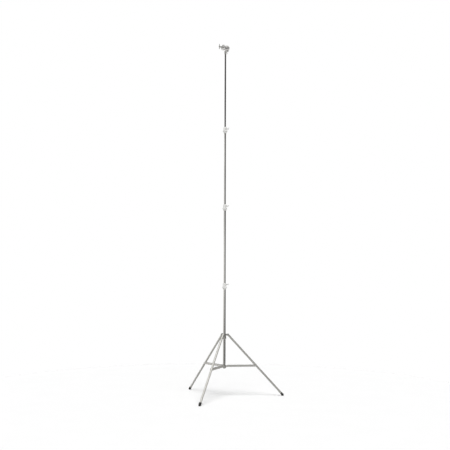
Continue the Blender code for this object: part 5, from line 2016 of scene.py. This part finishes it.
@dataclass
class Studio:
    """The pale floor, the soft light and the camera.

    Attributes:
        azimuth: Where the camera stands round the stand, in degrees; 0 looks along +Y.
        distance: Its distance from the column's axis.
        height: Its height over the floor.
        pitch: How far it looks up, in degrees.
        roll: Its roll, in degrees.
        lens: Its focal length in millimetres.
        shift: Its sideways shift, as a share of the picture.
        floor_radius: Radius of the floor, and facets of its edge.
        floor_colour: The floor's colour.
        floor_finish: Its roughness and its specular level.
        mottle: How many blotches it has in a metre, their contrast limits and their brightness.
        mirrored_floor: How bright the floor is in the metal's reflections, as a share.
        room_light: Sine up to which the room is bright for all but metal, half the width of the
            change, and the light below and above.
        walls: Brightness of the walls that metal mirrors: on the right, in front and on the left.
        bands: Heights over the horizon in degrees, with the share of the walls' light there.
        ceiling: How far the ceiling light leans to the right in degrees, the cosine at its rim,
            and its brightness.
        behind: Cosines to the far side, then sines of the height, over which the room darkens.
        dark_above: How much darker it is high up behind the stand, as a share.
        far_floor: From which to which height the walls give way to the bright far floor, and its
            brightness.
        key: How far right of the camera the key light stands and its height, in degrees.
        key_power: Its power.
        key_width: Its width as seen from the stand, in degrees.
    """

    azimuth: float = -37.86
    distance: float = 11.5
    height: float = 1.801
    pitch: float = 4.758
    roll: float = 0.22
    lens: float = 56.54
    shift: float = 0.0005
    floor_radius: tuple[float, int] = (4.6, 128)
    floor_colour: Colour = (0.845, 0.845, 0.845)
    floor_finish: tuple[float, float] = (0.9, 0.1)
    mottle: tuple[float, float, float, float] = (2.0, 0.3, 0.7, 0.99)
    mirrored_floor: float = 0.45
    room_light: tuple[float, float, float, float] = (0.40, 0.1, 0.85, 0.21)
    walls: Colour = (0.08, 0.50, 1.05)
    bands: tuple[tuple[float, float], ...] = (
        (-6.5, 0.54), (-3.8, 0.69), (-1.2, 1.22), (2.6, 1.28), (4.2, 1.00), (5.4, 0.60),
        (7.6, 0.96), (9.0, 0.42), (10.5, 1.42), (12.2, 0.58), (15.5, 0.14), (18.2, 0.64),
        (25.0, 0.80),
    )
    ceiling: tuple[float, float, float] = (15.0, 0.68, 1.0)
    behind: tuple[float, float, float, float] = (0.2, 0.7, 0.40, 0.55)
    dark_above: float = 0.8
    far_floor: tuple[float, float, float] = (-10.0, -7.5, 1.0)
    key: tuple[float, float] = (12.0, 60.0)
    key_power: float = 3.2
    key_width: float = 40.0

    def __post_init__(self) -> None:
        """Work out the camera's level directions."""
        around = math.radians(self.azimuth)
        self.ahead = Vector((-math.sin(around), math.cos(around), 0.0))
        self.right = Vector((math.cos(around), math.sin(around), 0.0))

    def build(self) -> None:
        """Build the floor, the lights and the camera."""
        self.floor()
        self.room()
        self.key_light()
        self.camera()

    def floor(self) -> None:
        """Build the floor that the stand stands on."""
        shape = bmesh.new()
        radius, steps = self.floor_radius
        bmesh.ops.create_circle(shape, cap_ends=True, segments=steps, radius=radius)
        floor = object_of("studio_floor", shape)
        material = bpy.data.materials.new("studio_floor")
        material.use_nodes = True
        graph = Graph(material.node_tree)
        place = graph.node("ShaderNodeTexCoord").outputs["Object"]
        scale, low, high, darker = self.mottle
        blotches = graph.spread(graph.noise(place, scale, detail=3.0), low, high)
        spots = tuple(darker * value for value in self.floor_colour)
        mirrored = tuple(self.mirrored_floor * value for value in self.floor_colour)
        mirror = graph.node("ShaderNodeLightPath").outputs["Is Glossy Ray"]
        tone = graph.blend(mirror, graph.blend(blotches, self.floor_colour, spots), mirrored)
        roughness, specular = self.floor_finish
        shader = material.node_tree.nodes["Principled BSDF"]
        inputs = {"Base Color": tone, "Roughness": roughness, "Specular IOR Level": specular}
        for name, value in inputs.items():
            graph.feed(shader.inputs[name], value)
        floor.data.materials.append(material)

    def room(self) -> None:
        """Light the room: white to the eye, and grey walls for metal to mirror."""
        world = bpy.data.worlds.new("studio_room")
        bpy.context.scene.world = world
        world.use_nodes = True
        world.node_tree.nodes.clear()
        graph = Graph(world.node_tree)
        way = graph.node("ShaderNodeTexCoord").outputs["Generated"]
        rise, half, below, over = self.room_light
        soft = graph.spread(graph.height(way), rise - half, rise + half, below, over)
        mirrored, lit, seen = (
            graph.node("ShaderNodeBackground", {"Color": (1.0, 1.0, 1.0, 1.0), "Strength": light})
            for light in (self.mirrored_room(graph, way), soft, 1.0)
        )
        path = graph.node("ShaderNodeLightPath").outputs
        sockets = {0: path["Is Glossy Ray"], 1: lit.outputs[0], 2: mirrored.outputs[0]}
        around = graph.node("ShaderNodeMixShader", sockets)
        sockets = {0: path["Is Camera Ray"], 1: around.outputs[0], 2: seen.outputs[0]}
        mix = graph.node("ShaderNodeMixShader", sockets)
        graph.node("ShaderNodeOutputWorld", {"Surface": mix.outputs[0]})

    def mirrored_room(self, graph: Graph, way: Socket) -> Socket:
        """The room's brightness as metal mirrors it: walls, ceiling and far floor.

        Args:
            graph: The world's graph.
            way: The direction that is looked in.

        Returns:
            The brightness.
        """
        side, height = graph.along(way, self.right), graph.height(way)
        right_wall, front_wall, left_wall = self.walls
        towards_left = graph.spread(side, 0.0, -1.0, front_wall, left_wall)
        towards_right = graph.spread(side, 0.0, 1.0, 0.0, front_wall - right_wall)
        level = graph.minus(towards_left, towards_right)
        walls = graph.times(level, self.band_light(graph, height))
        lean, rim, brightness = self.ceiling
        overhead = Matrix.Rotation(math.radians(lean), 3, self.ahead) @ UP
        ceiling = graph.spread(graph.along(way, overhead), rim, 0.5 + rim / 2, 0.0, brightness)
        near, far, low, high = self.behind
        behind = graph.spread(graph.along(way, self.ahead), near, far)
        dark = graph.times(behind, graph.spread(height, low, high, 0.0, self.dark_above))
        room = graph.times(graph.plus(walls, ceiling), graph.minus(1.0, dark))
        low, high, brightness = self.far_floor
        ends = (math.sin(math.radians(rise)) for rise in (low, high))
        share = graph.spread(height, *ends, 1.0, 0.0)
        seen_room = graph.times(room, graph.minus(1.0, share))
        return graph.plus(seen_room, graph.times(share, brightness))

    def band_light(self, graph: Graph, height: Socket) -> Socket:
        """The share of the walls' light at each height over the horizon.

        Args:
            graph: The world's nodes.
            height: The sine of the height.

        Returns:
            The share.
        """
        place = graph.times(graph.plus(height, 1.0), 0.5)
        ramp = graph.node("ShaderNodeValToRGB", {"Fac": place})
        stops = ramp.color_ramp.elements
        stops.remove(stops[1])
        for index, (rise, share) in enumerate(self.bands):
            position = (math.sin(math.radians(rise)) + 1.0) / 2
            stop = stops[0] if index == 0 else stops.new(position)
            stop.position = position
            stop.color = (share, share, share, 1.0)
        return ramp.outputs["Color"]

    def key_light(self) -> None:
        """Set up the wide soft light high in front of the stand."""
        data = bpy.data.lights.new("key_light", "SUN")
        data.energy = self.key_power
        data.angle = math.radians(self.key_width)
        light = linked("key_light", data)
        turn, rise = (math.radians(angle) for angle in self.key)
        level = self.right * math.sin(turn) - self.ahead * math.cos(turn)
        towards = level * math.cos(rise) + UP * math.sin(rise)
        light.matrix_world = frame_of(towards * self.distance, towards, self.right)
        light.visible_glossy = False

    def camera(self) -> None:
        """Set up the camera at the photograph's viewing angle."""
        data = bpy.data.cameras.new("studio_camera")
        data.lens = self.lens
        data.shift_x = self.shift
        camera = linked("studio_camera", data)
        axis, up = middle_of("base_column"), math.radians(self.pitch)
        spot = Vector((axis.x, axis.y, self.height)) - self.ahead * self.distance
        look = self.ahead * math.cos(up) + UP * math.sin(up)
        roll = Matrix.Rotation(math.radians(self.roll), 4, "Z")
        camera.matrix_world = frame_of(spot, -look, self.right) @ roll
        bpy.context.scene.camera = camera
        bpy.context.scene.view_settings.view_transform = "Standard"


def main() -> None:
    """Build the stand's pieces and the studio round them."""
    logging.basicConfig(level=logging.INFO, format="%(message)s")
    workshop = Workshop()
    Column(workshop).build()
    Base(workshop).build()
    for number in RISER_NUMBERS:
        ClampCollar(workshop, number).build()
    Receiver(workshop).build()
    Head(workshop).build()
    Studio().build()


if __name__ == "__main__":
    main()
